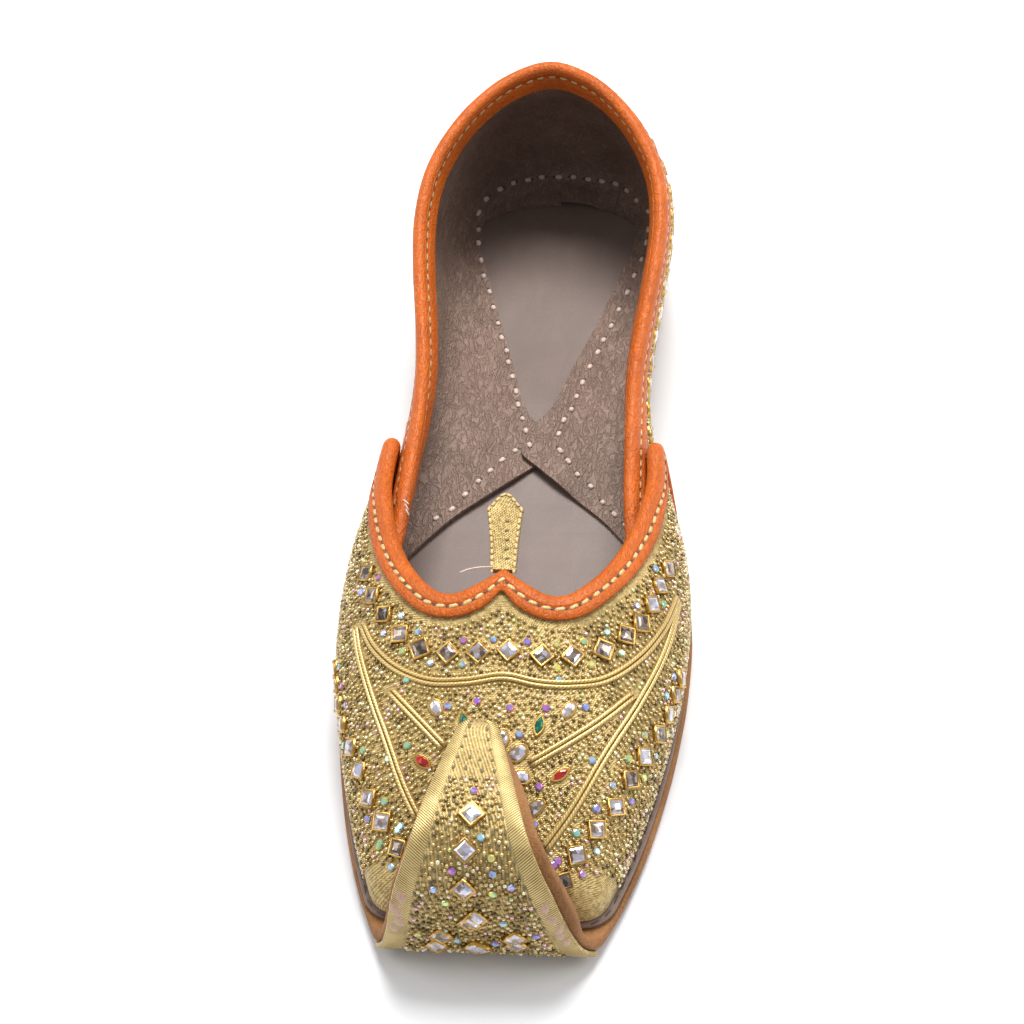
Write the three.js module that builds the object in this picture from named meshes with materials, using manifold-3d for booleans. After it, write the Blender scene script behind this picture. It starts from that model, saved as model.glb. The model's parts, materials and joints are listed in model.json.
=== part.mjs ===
// Mojari: a flat slip-on shoe with an embroidered vamp, a low quarter and a sole that curls back over the toe.
// Millimetres, +Z up, toe toward -Y, heel toward +Y, floor at z = 0. The shoe is straight lasted.
import * as THREE from 'three';
import Module from 'manifold-3d';

const wasm = await Module();
wasm.setup();

// Driving sizes
const footLength = 250;
const ballWidth = 85;
const instepHeight = 42;
const heelHeight = 60;
const wall = 2;
const gap = 0.3;

// Sole
const foreSole = 3;
const heelSole = 4.2;
const archLift = 1.6;
const toeSpring = 2;
const springStart = 0.19 * footLength;
const heelSide = 0.82 * footLength;
const heelBack = 249;
const heelRoundness = 2.7;
const soleEdge = 0.6;

// Upper
const toeFront = 5.5;
const toeCorner = 5;
const noseRadius = 6;
const toeRim = 2.4;
const heelRim = 1.6;
const quarterTuck = 1.1;
const tuckEnd = { from: 108, to: 126 };
const archRoundness = 2.3;
const tuckShare = 0.12;
const tuckHeight = 0.2;
const quarterLean = 1.6;
const vampSwell = 1.4;
const wingPinch = 1.2;
const skirt = 4;
const vampShare = 1.4;

// Edge strip, insole and lining
const stripThickness = 1.6;
const stripInset = 0.8;
const stripFront = 5;
const stripOverlap = 0.1;
const insoleFore = 2.6;
const insoleHeel = 3.6;
const insoleInset = wall + 0.8;
const insoleWaist = { from: 82, to: 92 };
const flapInset = insoleInset + 0.9;
const flapCrossing = { from: 6, to: 13 };
const liningThickness = 1.2;
const tabRise = 0.15;
const tabThickness = 1.4;

// Binding: its depth on the wall, the leather's thickness and the bead's reach past the wall
const quarterDepth = 6;
const vampDepth = 4.4;
const cornerDepth = 3.2;
const bindingLip = 2;
const bindingGap = 0.4;
const bindingLeather = 0.8;
const beadReach = 1.9;
const beadStart = 0.6;
const beadShoulder = 0.75;
const beadCrown = 0.3;
const bindingFirst = 4 / 3;
const cornerEnd = { from: 8, to: 12 };

// Toe curl
const curlLeather = 2.8;
const curlSteps = 2;
const coverThickness = 1.2;
const coverInset = 0.4;
const coverStart = 2;

// Sole outline: distance from the toe as a share of the foot length, half width as a share of the ball width
const soleRows = [
  { at: 0.0, half: 0.292 },
  { at: 0.016, half: 0.313 },
  { at: 0.044, half: 0.348 },
  { at: 0.1, half: 0.402 },
  { at: 0.156, half: 0.442 },
  { at: 0.216, half: 0.474 },
  { at: 0.28, half: 0.495 },
  { at: 0.336, half: 0.501 },
  { at: 0.4, half: 0.487 },
  { at: 0.48, half: 0.435 },
  { at: 0.54, half: 0.382 },
  { at: 0.6, half: 0.346 },
  { at: 0.66, half: 0.331 },
  { at: 0.72, half: 0.334 },
  { at: 0.82, half: 0.357 },
];

// Vamp ridge: height above the feather line as a share of the instep height
const ridgeRows = [
  { at: 0.02, rise: 0.21 },
  { at: 0.056, rise: 0.335 },
  { at: 0.08, rise: 0.412 },
  { at: 0.112, rise: 0.507 },
  { at: 0.144, rise: 0.588 },
  { at: 0.2, rise: 0.698 },
  { at: 0.256, rise: 0.79 },
  { at: 0.3, rise: 0.864 },
  { at: 0.336, rise: 0.881 },
  { at: 0.38, rise: 0.929 },
  { at: 0.434, rise: 1.06 },
  { at: 0.46, rise: 1.19 },
  { at: 0.485, rise: 1.39 },
  { at: 0.505, rise: 1.6 },
];

// Back edge of the vamp's wing, from the sole up to its rounded corner, with the foot of each line on the feather line
const wingRows = [
  { at: 112.3, height: 6.3, foot: 108.5 },
  { at: 113.4, height: 9.6, foot: 105 },
  { at: 115.2, height: 14, foot: 101 },
  { at: 117.8, height: 19.5, foot: 97 },
  { at: 120.3, height: 24.8, foot: 93 },
  { at: 122.6, height: 28.7, foot: 89 },
  { at: 123.5, height: 31, foot: 85.5 },
  { at: 122.7, height: 33, foot: 82 },
];

// Throat of the vamp from the wing to the peak on the centre line, with the foot of each line on the feather line
const throatRows = [
  { at: 119.9, half: 33.6, foot: 78.5 },
  { at: 115, half: 33.8, foot: 74 },
  { at: 108.5, half: 33.5, foot: 68.5 },
  { at: 102, half: 32.3, foot: 62 },
  { at: 95.5, half: 30.8, foot: 54.5 },
  { at: 89.5, half: 28.8, foot: 46.5 },
  { at: 83.5, half: 26.2, foot: 38 },
  { at: 78, half: 23, foot: 29.5 },
  { at: 73.8, half: 19.7, foot: 21 },
  { at: 71, half: 16.4, foot: 13 },
  { at: 69.8, half: 13, foot: 7 },
  { at: 70, half: 9.6, foot: toeFront, across: 0.3 },
  { at: 71.6, half: 6, foot: toeFront, across: 0.55 },
  { at: 73.7, half: 2.8, foot: toeFront, across: 0.78 },
  { at: 76, half: 0, foot: toeFront, across: 1 },
];

// Quarter from its front end, inside the vamp, to the back of the heel: foot on the feather line and topline
const quarterRows = [
  { foot: 95, top: 96, half: 28.2, height: 31.6, bulge: 0.5 },
  { foot: 105, top: 106, half: 28, height: 32.9, bulge: 0.6 },
  { foot: 116, top: 117, half: 27.6, height: 34, bulge: 0.6 },
  { foot: 130, top: 131, half: 27.2, height: 35.3, bulge: 0.8 },
  { foot: 145, top: 145, half: 27.4, height: 37.8, bulge: 1 },
  { foot: 160, top: 159, half: 28.9, height: 41, bulge: 1.7 },
  { foot: 176, top: 174, half: 30.9, height: 44.5, bulge: 2.5 },
  { foot: 192, top: 188, half: 31.8, height: 48, bulge: 3.3 },
  { foot: 207, top: 201, half: 30.3, height: 51.5, bulge: 3.7 },
  { foot: 221, top: 212, half: 26.1, height: 54.5, bulge: 3.6 },
  { foot: 233, top: 222, half: 19.7, height: 57, bulge: 3.3 },
  { foot: 243, top: 230.6, half: 11, height: 0.98 * heelHeight, bulge: 3 },
  { foot: 247.4, top: 234.6, half: 0, height: heelHeight, bulge: 3 },
];

// Middle line of the toe curl's leather, its half width and its lean to one side
const curlRows = [
  { at: 12, height: 2.6, half: 29.9, lean: 0 },
  { at: 6, height: 3.1, half: 27.3, lean: 0 },
  { at: 2.2, height: 4.6, half: 25.4, lean: 0 },
  { at: 0.5, height: 8.2, half: 23, lean: -0.2 },
  { at: 0.1, height: 14, half: 21.1, lean: -0.4 },
  { at: 0.3, height: 20.5, half: 19.6, lean: -0.6 },
  { at: 1.8, height: 27.8, half: 17.6, lean: -0.9 },
  { at: 4.8, height: 33.8, half: 14.9, lean: -1.2 },
  { at: 9.6, height: 37.4, half: 12.4, lean: -1.5 },
  { at: 16, height: 37.8, half: 10.4, lean: -1.8 },
  { at: 23.5, height: 36.5, half: 8.5, lean: -2.1 },
  { at: 31, height: 34.9, half: 6.6, lean: -2.4 },
  { at: 36.6, height: 33.9, half: 4.9, lean: -2.6 },
  { at: 38.6, height: 33.6, half: 2.6, lean: -2.7 },
];

// Free edge of a lining flap from its front end to the heel: foot on the wall, free edge and its distance from the centre
const flapRows = [
  { wall: 108, free: 107.5, half: 29.4 },
  { wall: 115, free: 113.5, half: 25 },
  { wall: 122, free: 120.5, half: 19.2 },
  { wall: 129, free: 128, half: 10.8 },
  { wall: 136, free: 135.5, half: 2.2 },
  { wall: 142, free: 141.5, half: -3.4 },
  { wall: 149, free: 147.5, half: -2.4 },
  { wall: 158, free: 156, half: 3.2 },
  { wall: 174, free: 173, half: 8.4 },
  { wall: 190, free: 189, half: 13.2 },
  { wall: 206, free: 205, half: 17.8 },
  { wall: 220, free: 218.5, half: 21.2 },
  { wall: 229, free: 228, half: 22.6 },
];

// Smooth curve through the rows of a table: the value of one column where the key column has the given value
function column(rows, key, name, value) {
  const last = rows.length - 1;
  let i = 0;
  while (i < last - 1 && rows[i + 1][key] < value) i += 1;
  const secant = (k) => (rows[k + 1][name] - rows[k][name]) / (rows[k + 1][key] - rows[k][key]);
  const slope = (k) => {
    if (k === 0) return secant(0);
    if (k === last) return secant(last - 1);
    const before = secant(k - 1);
    const after = secant(k);
    return before * after <= 0 ? 0 : (2 * before * after) / (before + after);
  };
  const span = rows[i + 1][key] - rows[i][key];
  return hermite(rows[i][name], rows[i + 1][name], slope(i) * span, slope(i + 1) * span, (value - rows[i][key]) / span);
}

function hermite(a, b, slopeA, slopeB, t) {
  const bend = (1 - t) * (1 - t) * t * slopeA - t * t * (1 - t) * slopeB;
  return a + (b - a) * t * t * (3 - 2 * t) + bend;
}

// Smooth curve through a list of numbers at the indexes 0, 1, 2 and so on
function through(values, index) {
  const last = values.length - 1;
  const i = Math.min(Math.floor(index), last - 1);
  const value = (k) => {
    if (k < 0) return 2 * values[0] - values[1];
    if (k > last) return 2 * values[last] - values[last - 1];
    return values[k];
  };
  const slopeA = (value(i + 1) - value(i - 1)) / 2;
  const slopeB = (value(i + 2) - value(i)) / 2;
  return hermite(value(i), value(i + 1), slopeA, slopeB, index - i);
}

function ease(from, to, value) {
  return THREE.MathUtils.smoothstep(value, from, to);
}

// Share of a round corner that is left at a distance from its start
function roundIn(distance, radius) {
  const left = THREE.MathUtils.clamp(1 - distance / radius, 0, 1);
  return Math.sqrt(1 - left * left);
}

// Sole: half width, underside, top and feather line at a station
function soleHalf(at) {
  if (at <= heelSide) return ballWidth * column(soleRows, 'at', 'half', Math.max(at / footLength, 0));
  const widest = ballWidth * soleRows[soleRows.length - 1].half;
  const share = Math.min((at - heelSide) / (heelBack - heelSide), 1);
  return widest * (1 - share ** heelRoundness) ** (1 / heelRoundness);
}

function soleBottom(at) {
  const spring = Math.max(1 - at / springStart, 0);
  const arch = ease(0.44, 0.6, at / footLength) - ease(0.6, 0.76, at / footLength);
  return toeSpring * spring * spring + archLift * arch;
}

function soleThickness(at) {
  return foreSole + (heelSole - foreSole) * ease(0.5, 0.8, at / footLength);
}

function soleTop(at) {
  return soleBottom(at) + soleThickness(at);
}

function feather(at) {
  return soleTop(at) + gap + stripThickness + gap;
}

// Rim of the sole outside the upper, wider at the toe than at the heel
function rim(at) {
  return heelRim + (toeRim - heelRim) * (1 - ease(0.1, 0.7, at / footLength));
}

// Half width of an outline that lies inside the rim by an inset, its toe corners rounded behind the given front
function insetHalf(at, inset, front) {
  if (at <= heelSide) return soleHalf(at) - rim(at) - inset - toeCorner * (1 - roundIn(at - front, toeCorner));
  const widest = ballWidth * soleRows[soleRows.length - 1].half - heelRim - inset;
  const share = Math.min((at - heelSide) / (heelBack - heelRim - inset - heelSide), 1);
  return widest * (1 - share ** heelRoundness) ** (1 / heelRoundness);
}

function footHalf(at) {
  return insetHalf(at, 0, toeFront);
}

// Vamp surface: station and share of the section's arc, 0 on the feather line and 1 on the centre line
function sideHalf(at) {
  const share = at / footLength;
  return footHalf(at) + vampSwell * ease(0.06, 0.3, share) - wingPinch * ease(0.38, 0.47, share);
}

function vampRise(at) {
  return instepHeight * column(ridgeRows, 'at', 'rise', at / footLength) * roundIn(at - toeFront, noseRadius);
}

function vampPoint(at, up) {
  const foot = footHalf(at);
  const side = sideHalf(at);
  const rise = vampRise(at);
  if (up < tuckShare) {
    const share = up / tuckShare;
    const half = foot + (side - foot) * (1 - (1 - share) ** 2);
    return new THREE.Vector3(half, at, feather(at) + tuckHeight * rise * share);
  }
  const turn = ((Math.min(up, 1) - tuckShare) / (1 - tuckShare)) * Math.PI / 2;
  const half = side * Math.max(Math.cos(turn), 0) ** (2 / archRoundness);
  const lift = tuckHeight + (1 - tuckHeight) * Math.sin(turn) ** (2 / archRoundness);
  return new THREE.Vector3(half, at, feather(at) + rise * lift);
}

// Share of the arc where the section has a given half width or height
function arcShare(turn) {
  return tuckShare + (1 - tuckShare) * turn / (Math.PI / 2);
}

function upFromHalf(at, half) {
  return arcShare(Math.acos((half / sideHalf(at)) ** (archRoundness / 2)));
}

function upFromHeight(at, height) {
  const share = (height - feather(at)) / vampRise(at);
  if (share < tuckHeight) return tuckShare * share / tuckHeight;
  return arcShare(Math.asin(((share - tuckHeight) / (1 - tuckHeight)) ** (archRoundness / 2)));
}

// Edge of the vamp from the wing's foot to the peak, in stations and arc shares
const edgeRows = [
  ...wingRows.map((row) => ({ at: row.at, up: upFromHeight(row.at, row.height), foot: row.foot, across: 0 })),
  ...throatRows.map((row) => (
    { at: row.at, up: upFromHalf(row.at, row.half), foot: row.foot, across: row.across ?? 0 })),
];
const peak = edgeRows.length - 1;

function edgeAt(index, name) {
  return through(edgeRows.map((row) => row[name]), index);
}

// Quarter surface: row index from the front end to the heel's back and share of the wall's height
function tuck(at) {
  return quarterTuck * (1 - ease(tuckEnd.from, tuckEnd.to, at));
}

function quarterHalf(at) {
  return footHalf(at) - tuck(at);
}

function quarterRow(index, name) {
  const values = quarterRows.map((row) => row[name]);
  const sign = name === 'half' ? -1 : 1;
  const mirrored = values.slice(0, -1).reverse().map((value) => sign * value);
  return through([...values, ...mirrored], index);
}

function quarterPoint(index, up) {
  const foot = Math.min(quarterRow(index, 'foot'), heelBack - heelRim);
  const base = new THREE.Vector3(quarterHalf(foot), foot, feather(foot));
  const top = new THREE.Vector3(quarterRow(index, 'half'), quarterRow(index, 'top'), quarterRow(index, 'height'));
  const lean = up < 0 ? 0 : up ** quarterLean;
  const out = new THREE.Vector3(base.x, Math.max(foot - heelSide, 0), 0).normalize();
  const swell = quarterRow(index, 'bulge') * Math.sin(Math.PI * Math.max(up, 0));
  return new THREE.Vector3(
    base.x + (top.x - base.x) * lean + out.x * swell,
    base.y + (top.y - base.y) * lean + out.y * swell,
    base.z + (top.z - base.z) * up,
  );
}

// Closed solid through rings of points, its ends closed by the given triangles of one ring
function loft(rings, caps) {
  const count = rings[0].length;
  const triangles = [];
  for (let i = 0; i < rings.length - 1; i += 1) {
    for (let j = 0; j < count; j += 1) {
      const a = i * count + j;
      const b = i * count + ((j + 1) % count);
      triangles.push([a, b, b + count], [a, b + count, a + count]);
    }
  }
  const end = (rings.length - 1) * count;
  for (const [a, b, c] of caps) triangles.push([c, b, a], [end + a, end + b, end + c]);
  return solid(rings.flat(), triangles);
}

// Closed ring-shaped solid: the last section joins the first
function hoop(rings) {
  const count = rings[0].length;
  const triangles = [];
  for (let i = 0; i < rings.length; i += 1) {
    const next = (i + 1) % rings.length;
    for (let j = 0; j < count; j += 1) {
      const k = (j + 1) % count;
      triangles.push([i * count + j, i * count + k, next * count + k]);
      triangles.push([i * count + j, next * count + k, next * count + j]);
    }
  }
  return solid(rings.flat(), triangles);
}

function solid(points, triangles) {
  let volume = 0;
  for (const [a, b, c] of triangles) {
    volume += points[a].dot(new THREE.Vector3().crossVectors(points[b], points[c]));
  }
  const faces = volume < 0 ? triangles.map(([a, b, c]) => [a, c, b]) : triangles;
  return new wasm.Manifold(new wasm.Mesh({
    numProp: 3,
    vertProperties: new Float32Array(points.flatMap((point) => point.toArray())),
    triVerts: new Uint32Array(faces.flat()),
  }));
}

// End triangles for a ring made of a front row and a back row, and for a ring with a given flat outline
function rowCaps(count) {
  const caps = [];
  for (let j = 0; j < count / 2 - 1; j += 1) {
    caps.push([j, j + 1, count - 2 - j], [j, count - 2 - j, count - 1 - j]);
  }
  return caps;
}

function outlineCaps(outline) {
  const contour = outline.map(([a, b]) => new THREE.Vector2(a, b));
  const faces = THREE.ShapeUtils.triangulateShape(contour, []);
  return THREE.ShapeUtils.isClockWise(contour) ? faces.map(([a, b, c]) => [c, b, a]) : faces;
}

// Shell of even thickness behind a grid of points, grown on both faces if asked
function shell(rows, thickness, grow = 0) {
  const across = rows[0].length;
  const normals = rows.map((row, i) => row.map((point, j) => {
    const next = rows[Math.min(i + 1, rows.length - 1)][j];
    const before = rows[Math.max(i - 1, 0)][j];
    const right = row[Math.min(j + 1, across - 1)];
    const left = row[Math.max(j - 1, 0)];
    return right.clone().sub(left).cross(next.clone().sub(before)).normalize();
  }));
  const offset = (row, i, distance) => row.map((point, j) => point.clone().addScaledVector(normals[i][j], distance));
  const rings = rows.map((row, i) => [...offset(row, i, grow), ...offset(row, i, -thickness - grow).reverse()]);
  return loft(rings, rowCaps(2 * across));
}

function geometryOf(manifold) {
  const mesh = manifold.getMesh();
  const geometry = new THREE.BufferGeometry();
  geometry.setAttribute('position', new THREE.BufferAttribute(new Float32Array(mesh.vertProperties), 3));
  geometry.setIndex(new THREE.BufferAttribute(new Uint32Array(mesh.triVerts), 1));
  return geometry;
}

// Vamp shell
const edgeSteps = 1.5;
const vampRows = 10;

function vampGridRow(position) {
  const right = position <= peak;
  const index = right ? position : 2 * peak - position;
  const edge = vampEdge(index);
  const footAt = Math.max(edgeAt(index, 'foot'), toeFront);
  const footUp = THREE.MathUtils.clamp(edgeAt(index, 'across'), 0, 1);
  const points = [];
  for (let k = 0; k <= vampRows; k += 1) {
    const share = (k / vampRows) ** vampShare;
    points.push(vampPoint(
      THREE.MathUtils.lerp(footAt, edge.at, share),
      THREE.MathUtils.lerp(footUp, edge.up, share),
    ));
  }
  const below = points[0].clone();
  below.z -= skirt;
  points.unshift(below);
  if (!right) points.forEach((point) => { point.x = -point.x; });
  return points;
}

function vampEdge(index) {
  return { at: edgeAt(index, 'at'), up: index === peak ? 1 : Math.min(edgeAt(index, 'up'), 1) };
}

function vampSolid(grow = 0) {
  const rows = [];
  for (let k = 0; k <= 2 * peak * edgeSteps; k += 1) rows.push(vampGridRow(k / edgeSteps));
  return shell(rows, wall, grow);
}

// Quarter shell
const quarterMiddle = quarterRows.length - 1;
const quarterSteps = 2;
const quarterUps = [-1, 0, 0.12, 0.28, 0.45, 0.62, 0.8, 1];

function quarterAround(index, up) {
  const mirrored = index > quarterMiddle;
  const point = quarterPoint(mirrored ? 2 * quarterMiddle - index : index, up);
  if (mirrored) point.x = -point.x;
  return point;
}

function quarterSolid(grow = 0) {
  const rows = [];
  for (let k = 0; k <= 2 * quarterMiddle * quarterSteps; k += 1) {
    const row = quarterUps.map((up) => quarterAround(k / quarterSteps, Math.max(up, 0)));
    row[0].z -= skirt;
    rows.unshift(row);
  }
  return shell(rows, wall, grow);
}

// Block under the feather line, which trims the upper's lower edge
function featherBlock() {
  const rings = [];
  const beyond = 10;
  const half = ballWidth / 2 + beyond;
  for (let at = -beyond; at <= footLength + beyond; at += beyond / 2) {
    const top = feather(THREE.MathUtils.clamp(at, 0, heelBack));
    const section = [[half, top], [half, -beyond], [-half, -beyond], [-half, top]];
    rings.push(section.map(([x, z]) => new THREE.Vector3(x, at, z)));
  }
  return loft(rings, rowCaps(4));
}

function upperSolid() {
  return vampSolid().add(quarterSolid()).subtract(featherBlock());
}

// Binding: a strip of leather folded over the wall's edge, its fold filled to a round bead. Its section is given as
// distance past the edge and distance outside the wall's outer face.
function bindingSection(depth, inside) {
  const outer = bindingGap + bindingLeather;
  const shoulder = beadReach / 2;
  return [
    [-depth, bindingGap],
    [-depth, outer],
    [-beadStart, outer],
    [shoulder, beadShoulder],
    [beadReach, -beadCrown],
    [beadReach, beadCrown - wall],
    [shoulder, -wall - beadShoulder],
    [-beadStart, -wall - outer],
    [-inside, -wall - outer],
    [-inside, -wall - bindingGap],
    [2 * gap, -wall - bindingGap],
    [2 * gap, bindingGap],
  ];
}

// Plain block around a bound edge, which keeps the other binding clear of it
function clearanceSection() {
  const out = bindingLeather + 2 * gap;
  const reach = beadReach + gap;
  return [[-quarterDepth - gap, out], [reach, out], [reach, -wall - out], [-quarterDepth - gap, -wall - out]];
}

// Point, outward normal and slopes of a surface given by a function of two parameters
const vampStep = { u: 0.2, v: 0.004 };
const quarterStep = { u: 0.02, v: 0.01 };

function surfaceFrame(surface, u, v, step) {
  const point = surface(u, v);
  const alongU = surface(u + step.u, v).sub(surface(u - step.u, v)).multiplyScalar(0.5 / step.u);
  const alongV = surface(u, v + step.v).sub(surface(u, v - step.v)).multiplyScalar(0.5 / step.v);
  return { point, alongU, alongV, normal: alongU.clone().cross(alongV).normalize() };
}

// Band along the quarter's topline, a little short of the quarter's ends
const trimEnd = 0.05;

function quarterTrim(section) {
  const rings = [];
  for (let k = 0; k <= 2 * quarterMiddle * quarterSteps; k += 1) {
    const index = THREE.MathUtils.clamp(k / quarterSteps, trimEnd, 2 * quarterMiddle - trimEnd);
    const edge = surfaceFrame(quarterAround, index, 1, quarterStep);
    rings.push(section.map(([reach, out]) => {
      const up = 1 + reach / edge.alongV.length();
      const { point, normal } = surfaceFrame(quarterAround, index, up, quarterStep);
      return point.addScaledVector(normal, out);
    }));
  }
  return loft(rings, outlineCaps(section));
}

// Vamp surface on both sides of the centre line
function vampAround(at, up) {
  if (up <= 1) return vampPoint(at, up);
  const point = vampPoint(at, 2 - up);
  point.x = -point.x;
  return point;
}

// Place on the vamp a distance inward from its edge, walked over the surface in short steps. Near the centre line the
// way inward turns straight to the toe.
const walkStep = 1.2;
const centreBand = 9;
const edgeStep = 0.1;

function inwardFrom(index) {
  const edge = vampEdge(index);
  const frame = surfaceFrame(vampAround, edge.at, edge.up, vampStep);
  const ahead = vampEdge(Math.min(index + edgeStep, peak));
  const behind = vampEdge(index - edgeStep);
  const tangent = vampPoint(ahead.at, ahead.up).sub(vampPoint(behind.at, behind.up)).normalize();
  const toToe = frame.alongU.clone().negate().normalize();
  const inward = frame.normal.clone().cross(tangent).normalize();
  return toToe.lerp(inward, ease(0, centreBand, frame.point.x)).normalize();
}

function vampWalk(index, direction, distance) {
  const steps = Math.ceil(Math.abs(distance) / walkStep);
  let { at, up } = vampEdge(index);
  for (let k = 0; k < steps; k += 1) {
    const { alongU, alongV, normal } = surfaceFrame(vampAround, at, up, vampStep);
    const step = direction.clone().addScaledVector(normal, -direction.dot(normal)).setLength(distance / steps);
    const uu = alongU.dot(alongU);
    const uv = alongU.dot(alongV);
    const vv = alongV.dot(alongV);
    const scale = 1 / (uu * vv - uv * uv);
    at += (step.dot(alongU) * vv - step.dot(alongV) * uv) * scale;
    up = Math.min(up + (step.dot(alongV) * uu - step.dot(alongU) * uv) * scale, 1);
  }
  return surfaceFrame(vampAround, at, up, vampStep);
}

function vampBinding() {
  const rings = [];
  const count = Math.round(2 * (peak - bindingFirst) * edgeSteps);
  for (let k = 0; k <= count; k += 1) {
    const position = bindingFirst + k / edgeSteps;
    const right = position <= peak;
    const index = right ? position : 2 * peak - position;
    const depth = cornerDepth + (vampDepth - cornerDepth) * ease(cornerEnd.from, cornerEnd.to, index);
    const direction = inwardFrom(index);
    rings.push(bindingSection(depth, bindingLip).map(([reach, out]) => {
      const { point, normal } = vampWalk(index, direction, -reach);
      point.addScaledVector(normal, out);
      if (!right) point.x = -point.x;
      return point;
    }));
  }
  const whole = loft(rings, outlineCaps(bindingSection(cornerDepth, bindingLip)));
  return largest(whole.subtract(quarterSolid(gap)).subtract(quarterTrim(clearanceSection())));
}

function quarterBinding() {
  return largest(quarterTrim(bindingSection(quarterDepth, quarterDepth)).subtract(vampSolid(gap)));
}

function largest(manifold) {
  const parts = manifold.decompose();
  return parts.reduce((best, part) => (part.volume() > best.volume() ? part : best));
}

// Stations from one end of an outline to the other, closer together at both ends
function stations(front, back, count) {
  const list = [];
  for (let k = 0; k <= count; k += 1) list.push(front + (back - front) * (1 - Math.cos(Math.PI * k / count)) / 2);
  return list;
}

// Section of a plate: half width, lower and upper face
const plateSteps = 44;
const plateEnd = 0.02;

function plateRing(at, half, low, high) {
  return [[half, high], [half, low], [-half, low], [-half, high]].map(([x, z]) => new THREE.Vector3(x, at, z));
}

// Outsole: the plate from the heel to the toe, then its leather curling up and back over the vamp
function curlRow(name, index) {
  const place = THREE.MathUtils.clamp(index, 0, curlRows.length - 1);
  return through(curlRows.map((entry) => entry[name]), place);
}

function curlFrame(index) {
  const step = 0.05;
  const tangent = new THREE.Vector2(
    curlRow('at', index + step) - curlRow('at', index - step),
    curlRow('height', index + step) - curlRow('height', index - step),
  ).normalize();
  const inner = new THREE.Vector2(tangent.y, -tangent.x);
  return {
    at: curlRow('at', index),
    height: curlRow('height', index),
    half: curlRow('half', index),
    lean: curlRow('lean', index),
    inner,
  };
}

function ribbonRing(frame, half, outer, inner, edge = 0) {
  const bevel = Math.min(edge, half * 0.4);
  const section = edge > 0
    ? [[half - bevel, inner], [half, inner - bevel], [half, outer + bevel], [half - bevel, outer],
      [bevel - half, outer], [-half, outer + bevel], [-half, inner - bevel], [bevel - half, inner]]
    : [[half, inner], [half, outer], [-half, outer], [-half, inner]];
  return section.map(([x, rise]) => new THREE.Vector3(
    frame.lean + x,
    frame.at + frame.inner.x * rise,
    frame.height + frame.inner.y * rise,
  ));
}

function outsoleSolid() {
  const beforeCurl = 4;
  const rings = [];
  const plate = stations(heelBack - plateEnd, curlRows[0].at + beforeCurl, plateSteps);
  for (const at of plate) {
    const thickness = soleThickness(at) / 2;
    const frame = { at, height: soleBottom(at) + thickness, lean: 0, inner: new THREE.Vector2(0, 1) };
    rings.push(ribbonRing(frame, soleHalf(at), -thickness, thickness, soleEdge));
  }
  for (let index = 0; index <= curlRows.length - 1; index += 1 / curlSteps) {
    const frame = curlFrame(index);
    const leather = THREE.MathUtils.lerp(foreSole, curlLeather, Math.min(index / 3, 1)) / 2;
    rings.push(ribbonRing(frame, frame.half, -leather, leather, soleEdge));
  }
  return loft(rings, rowCaps(8));
}

function curlCoverSolid() {
  const rings = [];
  const inner = -curlLeather / 2 - gap;
  for (let index = coverStart; index <= curlRows.length - 1; index += 1 / curlSteps) {
    const frame = curlFrame(index);
    rings.push(ribbonRing(frame, frame.half - coverInset, inner - coverThickness, inner));
  }
  return loft(rings, rowCaps(4));
}

// Edge strip: the lining's leather turned out between the upper and the sole, seen as a line around the shoe
function edgeStripSolid() {
  const right = [];
  const left = [];
  const outerInset = (at) => stripInset - rim(at);
  const innerInset = wall - stripOverlap;
  const count = plateSteps;
  const outer = stations(stripFront, heelBack - stripInset, count);
  const inner = stations(toeFront + innerInset, heelBack - heelRim - innerInset, count);
  for (let k = 0; k <= count; k += 1) {
    const outHalf = insetHalf(outer[k], outerInset(outer[k]), stripFront);
    const inHalf = insetHalf(inner[k], innerInset, toeFront + innerInset);
    const low = (at) => soleTop(at) + gap;
    const high = (at) => soleTop(at) + gap + stripThickness;
    const ring = (side) => [
      new THREE.Vector3(side * outHalf, outer[k], high(outer[k])),
      new THREE.Vector3(side * outHalf, outer[k], low(outer[k])),
      new THREE.Vector3(side * inHalf, inner[k], low(inner[k])),
      new THREE.Vector3(side * inHalf, inner[k], high(inner[k])),
    ];
    right.push(ring(1));
    if (k < count) left.unshift(ring(-1));
  }
  return hoop([...right, ...left]);
}

// Insole
function insoleTop(at) {
  return soleTop(at) + gap + insoleFore + (insoleHeel - insoleFore) * ease(0.5, 0.85, at / footLength);
}

function insoleSolid() {
  const front = toeFront + insoleInset;
  const rings = stations(front, heelBack - heelRim - insoleInset - plateEnd, plateSteps).map((at) => {
    const waist = tuck(at) * ease(insoleWaist.from, insoleWaist.to, at);
    return plateRing(at, insetHalf(at, insoleInset, front) - waist, soleTop(at) + gap, insoleTop(at));
  });
  return loft(rings, rowCaps(4));
}

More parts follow.
